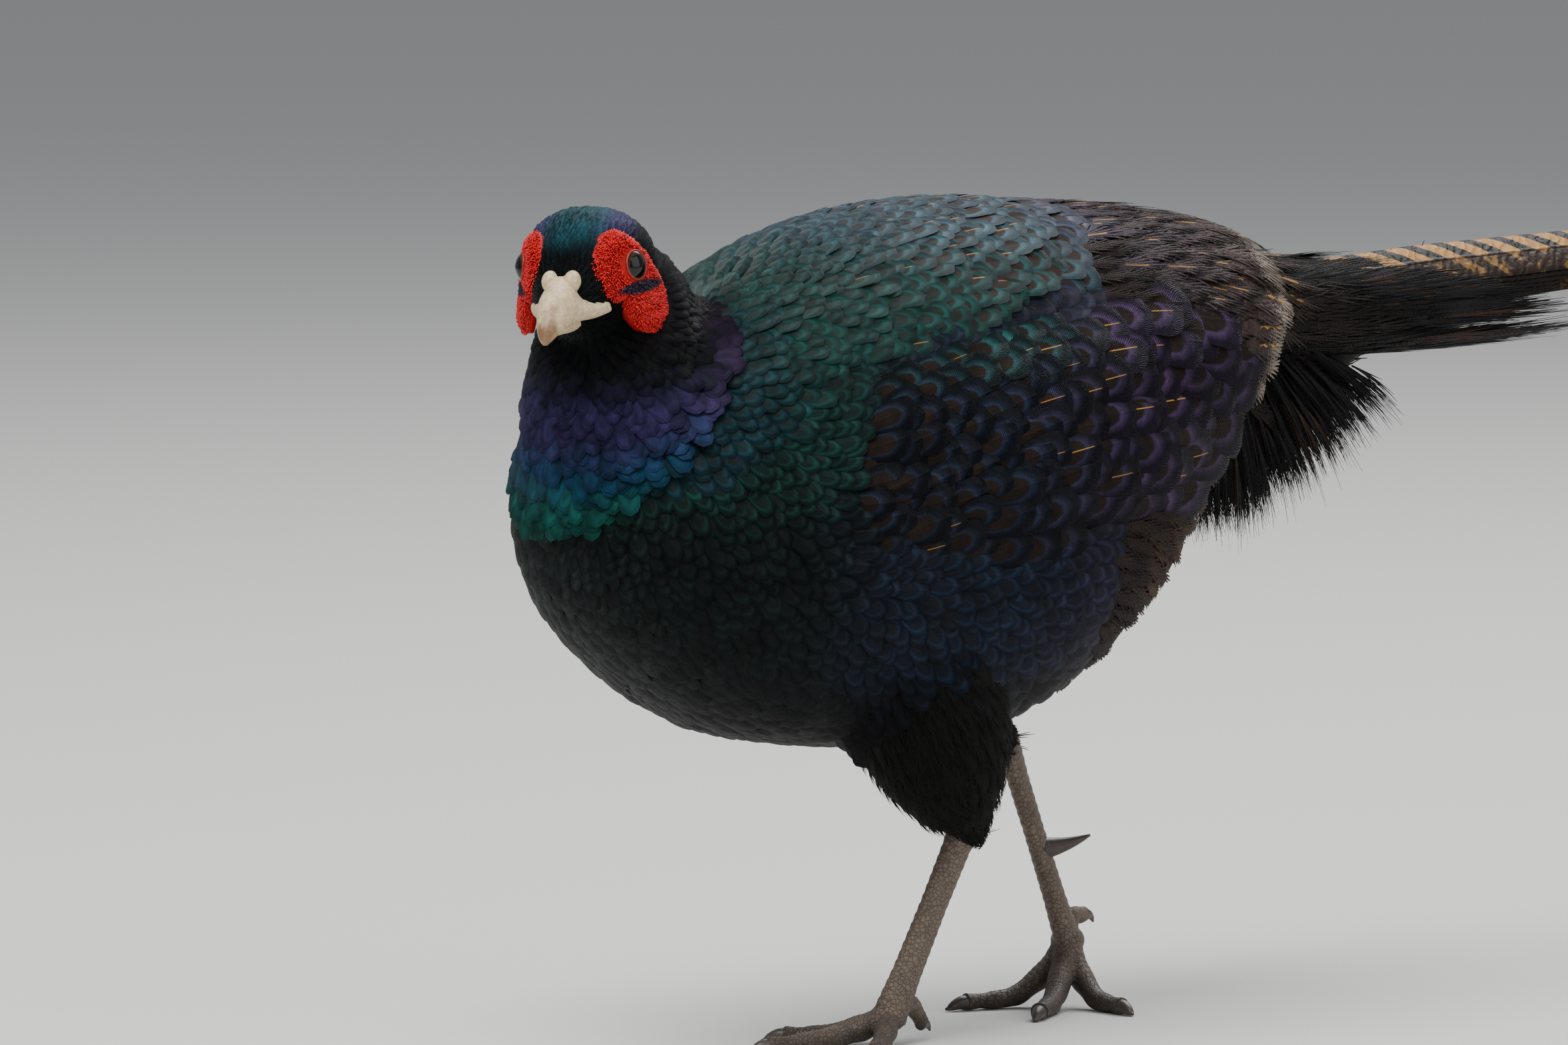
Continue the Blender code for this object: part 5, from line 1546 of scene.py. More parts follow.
def lay(plumage: Plumage, places: Array, ways: Array, ups: Array, length: Array, width: Array,
        thickness: float, lift: Any, unruly: float, chance: np.random.Generator, bend: float = 3.0) -> Roots:
    """Lay feathers along the skin, bent so that each follows it.

    Args:
        plumage: the map of the skin.
        places: the roots' places.
        ways: the ways they run.
        ups: the skin's normals there.
        length: their lengths.
        width: their widths.
        thickness: their thickness.
        lift: how far their tips stand over the skin.
        unruly: how much their ways differ from the skin's.
        chance: for the small differences.
        bend: the most that they bend down, in radians over their length.

    Returns:
        The roots.
    """
    s = plumage.surface
    count = len(places)
    sides = np.cross(ways, ups)
    turn = (chance.random(count) - 0.5) * unruly * 1.6
    ways = unit(ways * np.cos(turn)[:, None] + sides * np.sin(turn)[:, None])
    ways = unit(ways - ups * (ways * ups).sum(1, keepdims=True))
    sides = np.cross(ways, ups)
    root = places - ups * 0.0005
    lift = np.broadcast_to(lift, (count,)) * (0.75 + 0.5 * chance.random(count))
    ends, chords = [], []
    way_here, here = ways, places
    for part in (0.5, 1.0):
        ahead = here + way_here * (length * 0.5)[:, None]
        place, face, _ = s.nearest(ahead)
        normal = unit(s.read(s.normals, place, face))
        way_here = unit(s.read(plumage.way, place, face) * 0.5 + way_here * 0.5)
        here = place
        gap = place + normal * (lift * part)[:, None] - root
        ends.append(gap)
        chords.append(np.arctan2((gap * ups).sum(1), np.maximum((gap * ways).sum(1), 1e-6)))
    curl = np.clip(4 * (chords[0] - chords[1]), -0.5 * bend, bend)
    pitch = np.clip(chords[1] + curl / 2, -0.6, min(1.2, 0.05 + 0.5 * bend))
    drift = np.clip((ends[1] * sides).sum(1) / np.maximum(length, 1e-6), -0.6, 0.6)
    place, face, _ = s.nearest(places)
    patch = np.hstack([plumage.patches[face], np.zeros((count, 1))])
    regions = plumage.region_of(places, s.read(plumage.depth, place, face), ups)
    tint, core, mark = plumage.colours(places, ups, regions)
    vary = 0.72 + 0.56 * chance.random((count, 1))
    mark[:, 0] = (chance.random(count) < mark[:, 0]) * (0.55 + 0.45 * chance.random(count))
    return Roots(root, ways, ups, columns(length, width, thickness),
                 columns(pitch, curl, drift), tint * vary, core * (1.6 - 0.6 * vary), mark, patch)


TRACTS = (
    Tract(Region.HEAD, (0.0015, 0.0024), (0.0015, 0.0024), (0.0042, 0.0085), (0.0019, 0.0032), 0.0002,
          (0.0007, 0.0012), 0.22),
    Tract(Region.NECK, (0.0024, 0.0038), (0.0027, 0.0050), (0.0075, 0.0175), (0.0032, 0.0082), 0.0002,
          (0.0008, 0.0032), 0.16, 3.0, 0.034),
    Tract(Region.BREAST, (0.0042, 0.0060), (0.0052, 0.0074), (0.0130, 0.0200), (0.0078, 0.0112), 0.00025,
          (0.0010, 0.0014), 0.10),
    Tract(Region.MANTLE, (0.0038, 0.0076), (0.0048, 0.0098), (0.0120, 0.0240), (0.0070, 0.0150), 0.00025,
          (0.0010, 0.0016), 0.08),
    Tract(Region.WING, (0.0072, 0.0135), (0.0088, 0.0175), (0.0210, 0.0440), (0.0130, 0.0270), 0.0003,
          (0.0014, 0.0026), 0.12),
    Tract(Region.RUMP, (0.0080, 0.0090), (0.0085, 0.0095), (0.0300, 0.0420), (0.0150, 0.0190), 0.0003,
          (0.0016, 0.0040), 0.14, 0.9),
    Tract(Region.FLANK, (0.0075, 0.0085), (0.0070, 0.0080), (0.0280, 0.0360), (0.0100, 0.0120), 0.0003,
          (0.0024, 0.0034), 0.22),
    Tract(Region.THIGH, (0.0048, 0.0052), (0.0046, 0.0050), (0.0150, 0.0140), (0.0056, 0.0050), 0.0003,
          (0.0018, 0.0022), 0.25),
    Tract(Region.SLEEVE, (0.0070, 0.0070), (0.0060, 0.0060), (0.0420, 0.0420), (0.0110, 0.0110), 0.0003,
          (0.0012, 0.0016), 0.12, 0.25),
)
SKIN_NODES = ("torso", "neck", "head", "wing_left", "wing_right", "rump", "tail_coverts", "thigh_left",
              "thigh_right")


def bare_of_feathers(places: Array, length: Array) -> Array:
    """Which places are off the bare face and the bill: True where a feather may grow."""
    h = head_places(places)
    centre = np.array(WATTLE_CENTRE)
    near = np.linalg.norm(h, axis=1) < 0.045
    angle = np.degrees(np.arctan2(h[:, 2] - centre[1], h[:, 1] - centre[0]))
    known, reach = np.array(WATTLE_OUTLINE).T
    out = np.hypot(h[:, 2] - centre[1], h[:, 1] - centre[0]) - np.interp(angle, known, reach)
    on_wattle = near & (abs(h[:, 0]) > 0.006) & (out < -0.0010)
    on_bill = near & (h[:, 1] < -0.0238)
    return ~(on_wattle | on_bill)


@dataclass
class Feathers:
    """All the feathers that grow from the skin."""

    tracts: tuple[Tract, ...] = TRACTS

    def build(self, plumage: Plumage, coat: Coat) -> None:
        """Grow every tract.

        Args:
            plumage: the map of the skin.
            coat: what grows the feathers.
        """
        fine = Vane("fine_vane", rows=4, across=2, root_width=0.5, fullest=0.45, tip=0.1).make()
        contour = Vane("contour_vane", 8, 4, root_width=0.5, fullest=0.70, tip=0.10, notches=0.08).make()
        large = Vane("large_vane", 10, 6, root_width=0.45, fullest=0.72, tip=0.10, notches=0.06).make()
        loose = Plume("loose_plume", strands=9, spread=0.9, rows=4, strand_width=0.20).make()
        hair = Plume("hair_plume", strands=5, spread=0.9, rows=3, strand_width=0.14, seed=4).make()
        satin = FeatherFinish("satin_feather", specular=0.13).make()
        dark = FeatherFinish("breast_feather", rim=0.66, line=0.40, edge=0.7, specular=0.14).make()
        scale = FeatherFinish("scaled_feather", rim=0.60, line=0.45, edge=0.6, specular=0.16).make()
        eyed = FeatherFinish("eyed_feather", rim=0.52, line=0.55, edge=0.9, softness=0.08, shaft_width=0.020,
                             specular=0.10).make()
        soft = FeatherFinish("loose_feather", roughness=0.58, metallic=0.15, rim=0.8, shaft=(0.35, 0.70),
                             shaft_width=0.03, specular=0.14).make()
        dress = {
            Region.HEAD: (fine, satin), Region.NECK: (contour, satin), Region.BREAST: (contour, dark),
            Region.MANTLE: (contour, scale), Region.WING: (large, eyed), Region.RUMP: (loose, soft),
            Region.FLANK: (loose, soft), Region.THIGH: (hair, soft), Region.SLEEVE: (hair, soft),
        }
        for number, tract in enumerate(self.tracts):
            shape, finish = dress[tract.region]
            roots = tract.roots(plumage, 11 + number, bare_of_feathers)
            name = "coat_" + tract.region.name.lower()
            piece = coat.grow(name, roots, shape, finish, 31 + number)
            finished(piece, finish, (), False)


def painted(mesh: bpy.types.Mesh, name: str, values: Array) -> bpy.types.Mesh:
    """Store a number for each point of the mesh."""
    layer = mesh.attributes.new(name, "FLOAT", "POINT")
    layer.data.foreach_set("value", np.asarray(values, np.float32))
    return mesh


@dataclass(frozen=True)
class Papilla:
    """A soft blunt pin for the pile of the bare skin."""

    name: str
    around: int = 5

    def make(self) -> bpy.types.Object:
        """The pin as a hidden object."""
        turn = np.arange(self.around) * 2 * np.pi / self.around
        points, maps, faces = [], [], []
        for along, wide in ((0.0, 0.9), (0.55, 1.0), (0.85, 0.7)):
            for a in turn:
                points.append((wide * math.cos(a), along, wide * math.sin(a)))
                maps.append((0.5 + 0.5 * math.cos(a), along))
        points.append((0, 1, 0))
        maps.append((0.5, 1.0))
        n = self.around
        for i in range(2):
            for j in range(n):
                k = (j + 1) % n
                faces.append((i * n + j, i * n + k, (i + 1) * n + k, (i + 1) * n + j))
        faces += [(2 * n + j, 2 * n + (j + 1) % n, 3 * n) for j in range(n)]
        faces.append(tuple(range(n))[::-1])
        return hidden_shape(self.name, points, faces, maps)


@dataclass
class Face:
    """The bare parts of the head, worked out in the head's own frame: wattles, lids, eyes and bill."""

    hole: float = 0.0051
    lid_height: float = 0.0009
    eye_radius: float = 0.0068
    depth: float = 0.0050
    plane: tuple[float, float, float] = (0.0190, 0.36, -0.22)
    rings: int = 44
    around: int = 190
    papillae: int = 3600

    def surface(self, share: Array, turn: Array) -> Array:
        """Points of the left wattle's outer face.

        Args:
            share: how far out they are, 0 at the eye and 1 at the edge.
            turn: the angle round the wattle's middle.

        Returns:
            Their places.
        """
        eye, centre = np.array(EYE_PLACE[1:]), np.array(WATTLE_CENTRE)
        known, reach = np.array(WATTLE_OUTLINE).T
        degrees = np.degrees((turn + np.pi) % (2 * np.pi) - np.pi)
        far = np.interp(degrees, known, reach)
        radius = self.hole + (far - self.hole) * share
        shift = np.minimum(1.0, share * 1.5)
        y = eye[0] + (centre[0] - eye[0]) * shift + radius * np.cos(turn)
        z = eye[1] + (centre[1] - eye[1]) * shift + radius * np.sin(turn)
        width, back, up = self.plane
        x = width + back * y + up * z
        x = x + self.lid_height * np.maximum(0.0, 1 - share / 0.22) - 0.0034 * share**5
        low = np.clip((-z - 0.011) / 0.012, 0, 1)
        x = x + 0.0004 * low * np.cos(z / 0.0011) * (share < 0.95)
        groove = np.exp(-(((degrees + 45) / 16) ** 2)) * np.exp(-(((share - 0.45) / 0.3) ** 2))
        return columns(x - 0.0012 * groove, y, z)

    def outward(self) -> Array:
        """The way that the left wattle faces."""
        return unit(np.array((1.0, -self.plane[1], -self.plane[2])))

    def dark(self, y: Array, z: Array) -> Array:
        """How much of the dusky patch under the eye a place has."""
        along, across = (y - 0.0034) / 0.0126, (z + 0.0074 + 0.20 * (y - 0.0034)) / 0.0023
        return smooth(1.15, 0.75, np.sqrt(along**2 + across**2))

    def wattle(self) -> bpy.types.Mesh:
        """The left wattle."""
        share, turn = np.meshgrid(np.linspace(0, 1, self.rings) ** 0.9,
                                  np.linspace(-np.pi, np.pi, self.around, endpoint=False), indexing="ij")
        outer = self.surface(share, turn)
        inner = outer - np.array((1.0, 0, 0)) * (self.depth * (1 - 0.45 * share**3))[..., None]
        n, k = self.around, self.rings
        points = np.vstack([outer.reshape(-1, 3), inner.reshape(-1, 3)])
        faces = []
        for base in (0, n * k):
            for i in range(k - 1):
                for j in range(n):
                    m = (j + 1) % n
                    quad = (base + i * n + j, base + (i + 1) * n + j, base + (i + 1) * n + m, base + i * n + m)
                    faces.append(quad if base == 0 else quad[::-1])
        for i in (0, k - 1):
            for j in range(n):
                m = (j + 1) % n
                quad = (i * n + j, i * n + m, n * k + i * n + m, n * k + i * n + j)
                faces.append(quad if i == 0 else quad[::-1])
        mesh = new_mesh("wattle", points, faces)
        return painted(mesh, "wear", self.dark(points[:, 1], points[:, 2]))

    def pile(self, side: int, seed: int) -> Roots:
        """Roots of the wattle's papillae.

        Args:
            side: 1 for the left wattle, -1 for the right one.
            seed: for the small differences.

        Returns:
            The roots, in the bird's frame.
        """
        chance = np.random.default_rng(seed)
        count = self.papillae * 3
        share, turn = np.sqrt(chance.random(count)) * 1.12, chance.random(count) * 2 * np.pi - np.pi
        known, reach = np.array(WATTLE_OUTLINE).T
        far = np.interp(np.degrees(turn), known, reach)
        keep = (chance.random(count) < (far / 0.0285) ** 2 * 1.05) & (share > 0.04)
        share, turn = share[keep], turn[keep]
        over = np.maximum(share - 0.985, 0)[:, None] / 0.135
        share = np.minimum(share, 0.985)
        place = self.surface(share, turn)
        along = self.surface(share + 0.01, turn) - place
        onward = self.surface(share, turn + 0.01) - place
        normal = unit(np.cross(onward, along))
        normal *= np.sign(normal[:, :1])
        place = place - normal * over * 0.0026
        normal = unit(normal * (1 - over) + unit(along) * np.minimum(1, over * 2))
        along, dusk = unit(along), self.dark(place[:, 1], place[:, 2])[:, None]
        stray = (chance.random((len(place), 3)) - 0.5) * 0.5
        ways = unit(normal + 0.55 * along + stray - np.array((0, -0.15, 0.25)))
        ups = unit(np.cross(ways, (0.3, 1.0, 0.2)))
        patch = columns(0.5 + place[:, 1] * 11, 0.5 + place[:, 2] * 11, 0.0)
        place = place - normal * 0.0002
        head = np.array(HEAD)
        mirror = np.array((side, 1.0, 1.0))
        place, ways, ups = ((rows * mirror) @ head[:3, :3].T for rows in (place, ways, ups))
        place = place + head[:3, 3]
        count = len(place)
        length = 0.00085 + 0.00055 * chance.random(count)
        size = columns(length, 0.00062, 0.00031)
        vary = chance.random((count, 1))
        tint = np.array((0.60, 0.006, 0.007)) * (0.55 + 0.75 * vary)
        tint = np.where(chance.random((count, 1)) < 0.05, np.array((0.12, 0.004, 0.006)), tint)
        tint = tint * (1 - dusk) + np.array((0.012, 0.008, 0.022)) * dusk
        mark = np.zeros((count, 4))
        return Roots(place, ways, ups, size, np.zeros((count, 3)), tint, tint * 0.5, mark, patch)

    def lid(self) -> bpy.types.Mesh:
        """The left eye's lid: a fine rolled edge round the eye."""
        turns = np.linspace(-np.pi, np.pi, 72, endpoint=False)
        middle = self.surface(np.full(72, 0.0), turns) + np.array((0.0001, 0, 0))
        centre = middle.mean(0)
        outward = unit(middle - centre)
        normal, points, faces = self.outward(), [], []
        for k in range(10):
            a = k / 10 * 2 * np.pi
            points.append(middle + (outward * math.cos(a) + normal * math.sin(a)) * 0.00038)
        grid = np.stack(points, axis=1).reshape(-1, 3)
        for j in range(72):
            for k in range(10):
                m, n = (j + 1) % 72, (k + 1) % 10
                faces.append((j * 10 + k, m * 10 + k, m * 10 + n, j * 10 + n))
        return painted(new_mesh("lid", grid, faces), "wear", np.zeros(len(grid)))

    def bill_half(self, sections: Sequence[Sequence[float]], flat_side: int) -> bpy.types.Mesh:
        """One half of the bill, flatter on the side that meets the other."""
        c, s = oval(64, 2.3)
        rings = []
        for y, top, bottom, half in through(sections, np.linspace(0, 1, 90)):
            edge = bottom if flat_side < 0 else top
            arch, belly = (top - bottom) * 0.86, (top - bottom) * 0.14
            height = np.where(s * flat_side > 0, belly, arch)
            level = np.clip(-flat_side * s, 0, 1)
            pinch = 0.58 * smooth(-0.032, -0.014, y) * smooth(0.10, 0.62, level) * (flat_side < 0)
            ridge = 1 - 0.10 * smooth(0.75, 1.0, level) * (flat_side < 0)
            x = half * c * (1 - pinch) * ridge
            rings.append(columns(x, y, edge - flat_side * belly + height * s))
        return loft("bill", rings)

    def build(self, coat: Coat) -> None:
        """Make the pieces.

        Args:
            coat: grows the papillae.
        """
        red = PaintFinish("bare_skin", (0.36, 0.004, 0.004), (0.014, 0.008, 0.020), 0.6, 0.20, 900.0, 0.2,
                          0.0003).make()
        pile = PaintFinish("papillae", (0.6, 0.006, 0.007), (0.10, 0.004, 0.006), 0.5, 0.35, 900.0, 0.2,
                           tinted=True).make()
        rim = PaintFinish("lid_skin", (0.28, 0.020, 0.016), (0.10, 0.02, 0.02), 0.4, 0.5, 900.0, 0.4).make()
        horn = PaintFinish("pale_horn", (0.60, 0.47, 0.28), (0.20, 0.105, 0.048), 0.42, 0.5, 700.0, 1.5,
                           0.0002).make()
        wet = EyeFinish().make()
        pin = Papilla("papilla").make()
        wattle, lid = self.wattle(), self.lid()
        for side, word in ((1, "left"), (-1, "right")):
            skin = wattle.copy() if side > 0 else mirrored(wattle)
            finished(stage_object(f"wattle_skin_{word}", in_head(skin)), red, (f"wattle_{word}",))
            grown = coat.grow(f"wattle_pile_{word}", self.pile(side, 5 + side), pin, pile, 3, 0.3, 0.0)
            finished(grown, pile)
            edge = lid.copy() if side > 0 else mirrored(lid)
            finished(stage_object(f"lid_{word}", in_head(edge)), rim)
            mirror = np.array((side, 1.0, 1.0))
            normal = self.outward()
            middle = self.surface(np.zeros(72), np.linspace(-np.pi, np.pi, 72, endpoint=False)).mean(0)
            centre = middle - normal * math.sqrt(self.eye_radius**2 - self.hole**2)
            eye = ball("eye", (self.eye_radius,) * 3, centre * mirror, 64)
            gaze = unit(normal * mirror + np.array((0.0, -0.12, -0.05)))
            away = unit(coordinates(eye) - centre * mirror)
            painted(eye, "ring", np.arccos(np.clip(away @ gaze, -1, 1)))
            finished(stage_object(f"eyeball_{word}", in_head(eye)), wet, (f"eye_{word}",))
        bulbs = [ball("bulb", NARE_SIZE, (side * NARE_PLACE[0], *NARE_PLACE[1:]), 40) for side in (1, -1)]
        for name, parts, node in (
            ("upper_horn", [self.bill_half(UPPER_BILL, -1), *bulbs], "bill_upper"),
            ("lower_horn", [self.bill_half(LOWER_BILL, 1)], "bill_lower"),
        ):
            mesh = melted(name, parts, 0.00034, 4)
            p = coordinates(mesh)
            wear = 0.60 * smooth(-0.040, -0.048, p[:, 1]) + 0.20
            wear += 0.34 * np.exp(-(((p[:, 0] - 0.001) / 0.0017) ** 2 + ((p[:, 1] + 0.0365) / 0.0055) ** 2))
            painted(mesh, "wear", wear)
            finished(stage_object(name, in_head(mesh)), horn, (node,))


@dataclass
class Legs:
    """Shanks, feet, claws and spurs."""

    half_depth: float = 0.0060
    half_width: float = 0.0040
    scutes: int = 24
    voxel: float = 0.00052

    def shank(self, ankle: Vector, joint: Vector, turn: float) -> bpy.types.Mesh:
        """The bare shank, deeper than wide, with a row of overlapping scutes down its front."""
        along = (joint - ankle).normalized()
        start, stop = ankle - along * 0.007, joint + along * 0.001
        front = Vector((math.sin(turn), -math.cos(turn), 0.0))
        side = along.cross(front).normalized()
        front = side.cross(along)
        ways, sizes = zip((0.0, 0.95), (0.12, 1.12), (0.26, 0.95), (0.50, 0.90), (0.80, 0.98), (1.0, 1.18))
        angle = np.arange(44) * 2 * np.pi / 44
        c, s = np.cos(angle), np.sin(angle)
        rings = []
        for t in np.linspace(0, 1, 240):
            size = float(np.interp(t, ways, sizes))
            phase = (t * self.scutes + 0.5 * (s > 0)) % 1.0
            fore = np.clip(c * 1.6, 0, 1)
            relief = (0.00042 * (1 - phase) - 0.0002) * fore
            relief = relief + 0.00022 * np.sin(t * 150 + 3 * s) * (1 - fore) * 0.5
            ring = (c * (self.half_depth * size + relief))[:, None] * np.array(front)
            ring = ring + (s * (self.half_width * size + relief))[:, None] * np.array(side)
            rings.append(np.array(start.lerp(stop, t)) + ring)
        return loft("shank", rings)

    def toe(self, name: str, side: int, ankle: Vector, joint: Vector, turn: float, arch: float) -> tuple:
        """A toe's middle line and radii: eight rows, root to tip."""
        angle, length, root = TOES[name]
        turn = turn - side * math.radians(angle)
        way = Vector((math.sin(turn), -math.cos(turn), 0.0))
        rest = GROUND + TOE_TIP_RADIUS * 0.86
        points, radii = [], []
        if name == "hind":
            base = joint + (ankle - joint).normalized() * 0.009
            drop = min(base.z - rest - 0.001, 0.012) if arch < 2 else 0.0
            for t in np.linspace(0, 1, 5):
                start = joint.lerp(base, min(1, 2.2 * t))
                points.append(start + way * (length * t) - Vector((0, 0, drop * t**1.4)))
                radii.append(root + (TOE_TIP_RADIUS * 0.9 - root) * t)
            return points, radii
        for t in np.linspace(0, 1, 8):
            height = rest + (joint.z - rest) * max(0.0, 1 - t / 0.72) ** arch
            points.append(joint + way * (length * t) + Vector((0, 0, height - joint.z)))
            radii.append(root + (TOE_TIP_RADIUS - root) * t + 0.00035 * math.cos(t * 3 * 2 * math.pi))
        return points, radii

    def toe_mesh(self, points: Sequence[Vector], radii: Sequence[float]) -> bpy.types.Mesh:
        """A toe with scutes above and pads below."""
        rows = np.array([(*p, r) for p, r in zip(points, radii)])
        fine = through(rows, np.linspace(0, 1, 90))
        length = float(np.linalg.norm(fine[-1, :3] - fine[0, :3]))

        def relief(t: float, turn: Array) -> Array:
            """Height of the scutes and pads."""
            above, below = np.clip(np.sin(turn), 0, 1), np.clip(-np.sin(turn), 0, 1)
            phase = (t * length / 0.0023) % 1.0
            pads = below * 0.0004 * math.cos(t * length / 0.0115 * 2 * math.pi)
            return above * (0.00034 * (1 - phase) - 0.00012) + pads

        return tube("toe", fine[:, :3], fine[:, 3], 24, relief, GROUND)

    def claw(self, points: Sequence[Vector], length: float, root: float) -> bpy.types.Mesh:
        """A curved claw that carries on from the toe."""
        heading = (points[-1] - points[-2]).normalized()
        heading.z = max(heading.z, -0.1) + 0.30
        point = points[-1] - heading.normalized() * 0.001
        rows = []
        for t in np.linspace(0, 1, 5):
            rows.append((*point, root * (1 - t) ** 0.8 + 0.0003))
            heading = (heading.normalized() + Vector((0, 0, -0.45 * (0.5 + t)))).normalized()
            point = point + heading * (length / 4)
            point.z = max(point.z, GROUND + 0.0006)
        fine = through(rows, np.linspace(0, 1, 26))
        return tube("claw", fine[:, :3], fine[:, 3], 20, None, GROUND)

    def build(self) -> None:
        """Make both legs."""
        skin = PaintFinish("scaled_skin", (0.150, 0.112, 0.082), (0.055, 0.040, 0.030), 0.55, 0.4, 340.0, 0.9,
                           0.00025, 620.0).make()
        horn = PaintFinish("dark_horn", (0.060, 0.046, 0.036), (0.15, 0.115, 0.085), 0.4, 0.5, 500.0,
                           0.5).make()
        for word, (side, _, ankle, joint, turn, arch) in LEGS.items():
            ankle, joint = Vector(ankle), Vector(joint)
            parts = [self.shank(ankle, joint, turn), ball("pad", (0.0062, 0.0062, 0.0056), joint, 32)]
            for name in TOES:
                points, radii = self.toe(name, side, ankle, joint, turn, arch)
                parts.append(self.toe_mesh(points, radii))
                length = CLAW_LENGTH * (0.7 if name == "hind" else 1.0)
                claw = painted(self.claw(points, length, radii[-1] * 0.82), "wear", np.zeros(26 * 20 + 2))
                finished(stage_object(f"nail_{word}_{name}", claw), horn, (f"claw_{word}_{name}",))
            mesh = melted("leg", parts, self.voxel, 1)
            p = coordinates(mesh)
            p[:, 2] = np.maximum(p[:, 2], GROUND)
            reshape(mesh, p)
            painted(mesh, "wear", 0.25 + 0.5 * smooth(0.012, -0.004, p[:, 2]))
            finished(stage_object(f"leg_{word}", mesh), skin, (f"shank_{word}", f"foot_{word}"))
            base = joint.lerp(ankle, 0.45)
            way = Vector((-side * 0.55, 0.80, 0.10)).normalized()
            rows = [(*(base + way * (0.0015 + SPUR_LENGTH * t) + Vector((0, 0, 0.003 * t * t))),
                     0.0038 * (1 - t) ** 0.9 + 0.0004) for t in np.linspace(0, 1, 9)]
            fine = through(rows, np.linspace(0, 1, 30))
            spur = painted(tube("spur", fine[:, :3], fine[:, 3], 24), "wear", np.zeros(30 * 24 + 2))
            finished(stage_object(f"spur_horn_{word}", spur), horn, (f"spur_{word}",))


@dataclass
class Tail:
    """The long folded tail: graduated pairs of feathers laid over each other like a roof."""

    rows: int = 90
    across: int = 10
    thickness: float = 0.0006

    def section(self) -> tuple[Array, Array, Array, Array]:
        """Distance round the roof-like section, and there the way sideways, down and the slope."""
        arcs = np.linspace(0, 0.06, 241)
        flat, steep = TAIL_ROOF
        slope = np.radians(flat + (steep - flat) * np.minimum(arcs / TAIL_ROOF_ARC, 1.02))
        step = arcs[1] - arcs[0]
        sideways = np.r_[0, np.cumsum((np.cos(slope[1:]) + np.cos(slope[:-1])) / 2 * step)]
        down = np.r_[0, np.cumsum((np.sin(slope[1:]) + np.sin(slope[:-1])) / 2 * step)]
        return arcs, sideways, down, slope

    def vane(self, number: int, side: int) -> tuple[Array, Array, Array]:
        """One feather of the tail.

        Args:
            number: its pair, 0 for the middle one.
            side: 1 for the left one, -1 for the right one.

        Returns:
            Its middle surface as a grid of points, the normals there, and the distance round the section.
        """
        length = TAIL_PAIRS[number]
        widest, narrowest = TAIL_VANE_HALF_WIDTH
        full = widest + (narrowest - widest) * number / (len(TAIL_PAIRS) - 1)
        arcs, table_x, table_z, table_slope = self.section()
        t = np.linspace(0, 1, self.rows)[:, None]
        a = np.linspace(-1, 1, self.across)[None, :]
        out = length * t
        dip = TAIL_DIP[0] * np.maximum(0.0, 1 - out / TAIL_DIP[1])
        ridge = RIDGE_START[1] + RIDGE_SLOPE * out - dip
        spread = 0.42 + 0.58 * np.clip(out / 0.055, 0, 1)
        grown_in = 0.42 + 0.58 * np.clip(out / 0.06, 0, 1)
        end = np.maximum(1 - 0.42 * t - 0.56 * np.maximum(0.0, (t - 0.9) / 0.1) ** 3, 0.02)
        half_width = 0.97 * full * grown_in * end
        arc = half_width * (1 + a) + (0.00215 * number - 0.0008) * spread
        far = np.abs(arc)
        x, z, slope = (np.interp(far, arcs, table) for table in (table_x, table_z, table_slope))
        over = np.sign(arc)
        slope = slope * over
        deep = TAIL_LAYER * number * (0.5 + 0.5 * np.clip(out / 0.04, 0, 1)) + 0.0004 + 0.0003 * (side < 0)
        x, z = x * over - deep * np.sin(slope), z + deep * np.cos(slope)
        y = np.broadcast_to(RIDGE_START[0] + out, x.shape)
        grid = columns(side * x, y, ridge - z - 0.0004)
        normals = columns(side * np.sin(slope), 0.0, np.cos(slope))
        return grid, normals, arc

    def build(self) -> None:
        """Make the tail."""
        points, faces, maps, arcs = [], [], [], []
        rows, across = self.rows, self.across
        for number in range(len(TAIL_PAIRS)):
            for side in (1, -1):
                grid, normals, arc = self.vane(number, side)
                shape = np.sqrt(np.maximum(0.0, 1 - np.linspace(-1, 1, across) ** 2))[None, :, None]
                half = normals * self.thickness / 2 * (0.35 + 0.65 * shape)
                base = sum(len(p) for p in points)
                points += [(grid + half).reshape(-1, 3), (grid - half).reshape(-1, 3)]
                run = np.broadcast_to(grid[..., 1] - RIDGE_START[0] + 0.0031 * number, arc.shape)
                wide = np.broadcast_to(np.linspace(0, 1, across)[None, :], arc.shape)
                maps += [columns(wide, run).reshape(-1, 2)] * 2
                arcs += [np.abs(arc).ravel() + 0.02 * (number > 0)] * 2
                lower = base + rows * across
                for i in range(rows - 1):
                    for j in range(across - 1):
                        k = i * across + j
                        quad = (k, k + 1, k + 1 + across, k + across)
                        faces.append(tuple(base + q for q in quad))
                        faces.append(tuple(lower + q for q in quad[::-1]))
                rim = [(i, 0) for i in range(rows)] + [(rows - 1, j) for j in range(1, across)]
                rim += [(i, across - 1) for i in range(rows - 2, -1, -1)]
                rim += [(0, j) for j in range(across - 2, 0, -1)]
                for (a, b), (c, d) in zip(rim, rim[1:] + rim[:1]):
                    k, m = a * across + b, c * across + d
                    faces.append((base + k, base + m, lower + m, lower + k))
        mesh = new_mesh("tail", np.vstack(points), faces)
        mapped(mesh, np.vstack(maps))
        painted(mesh, "arc", np.concatenate(arcs))
        finished(stage_object("tail_feathers", mesh), TailFinish().make(), ("tail",))


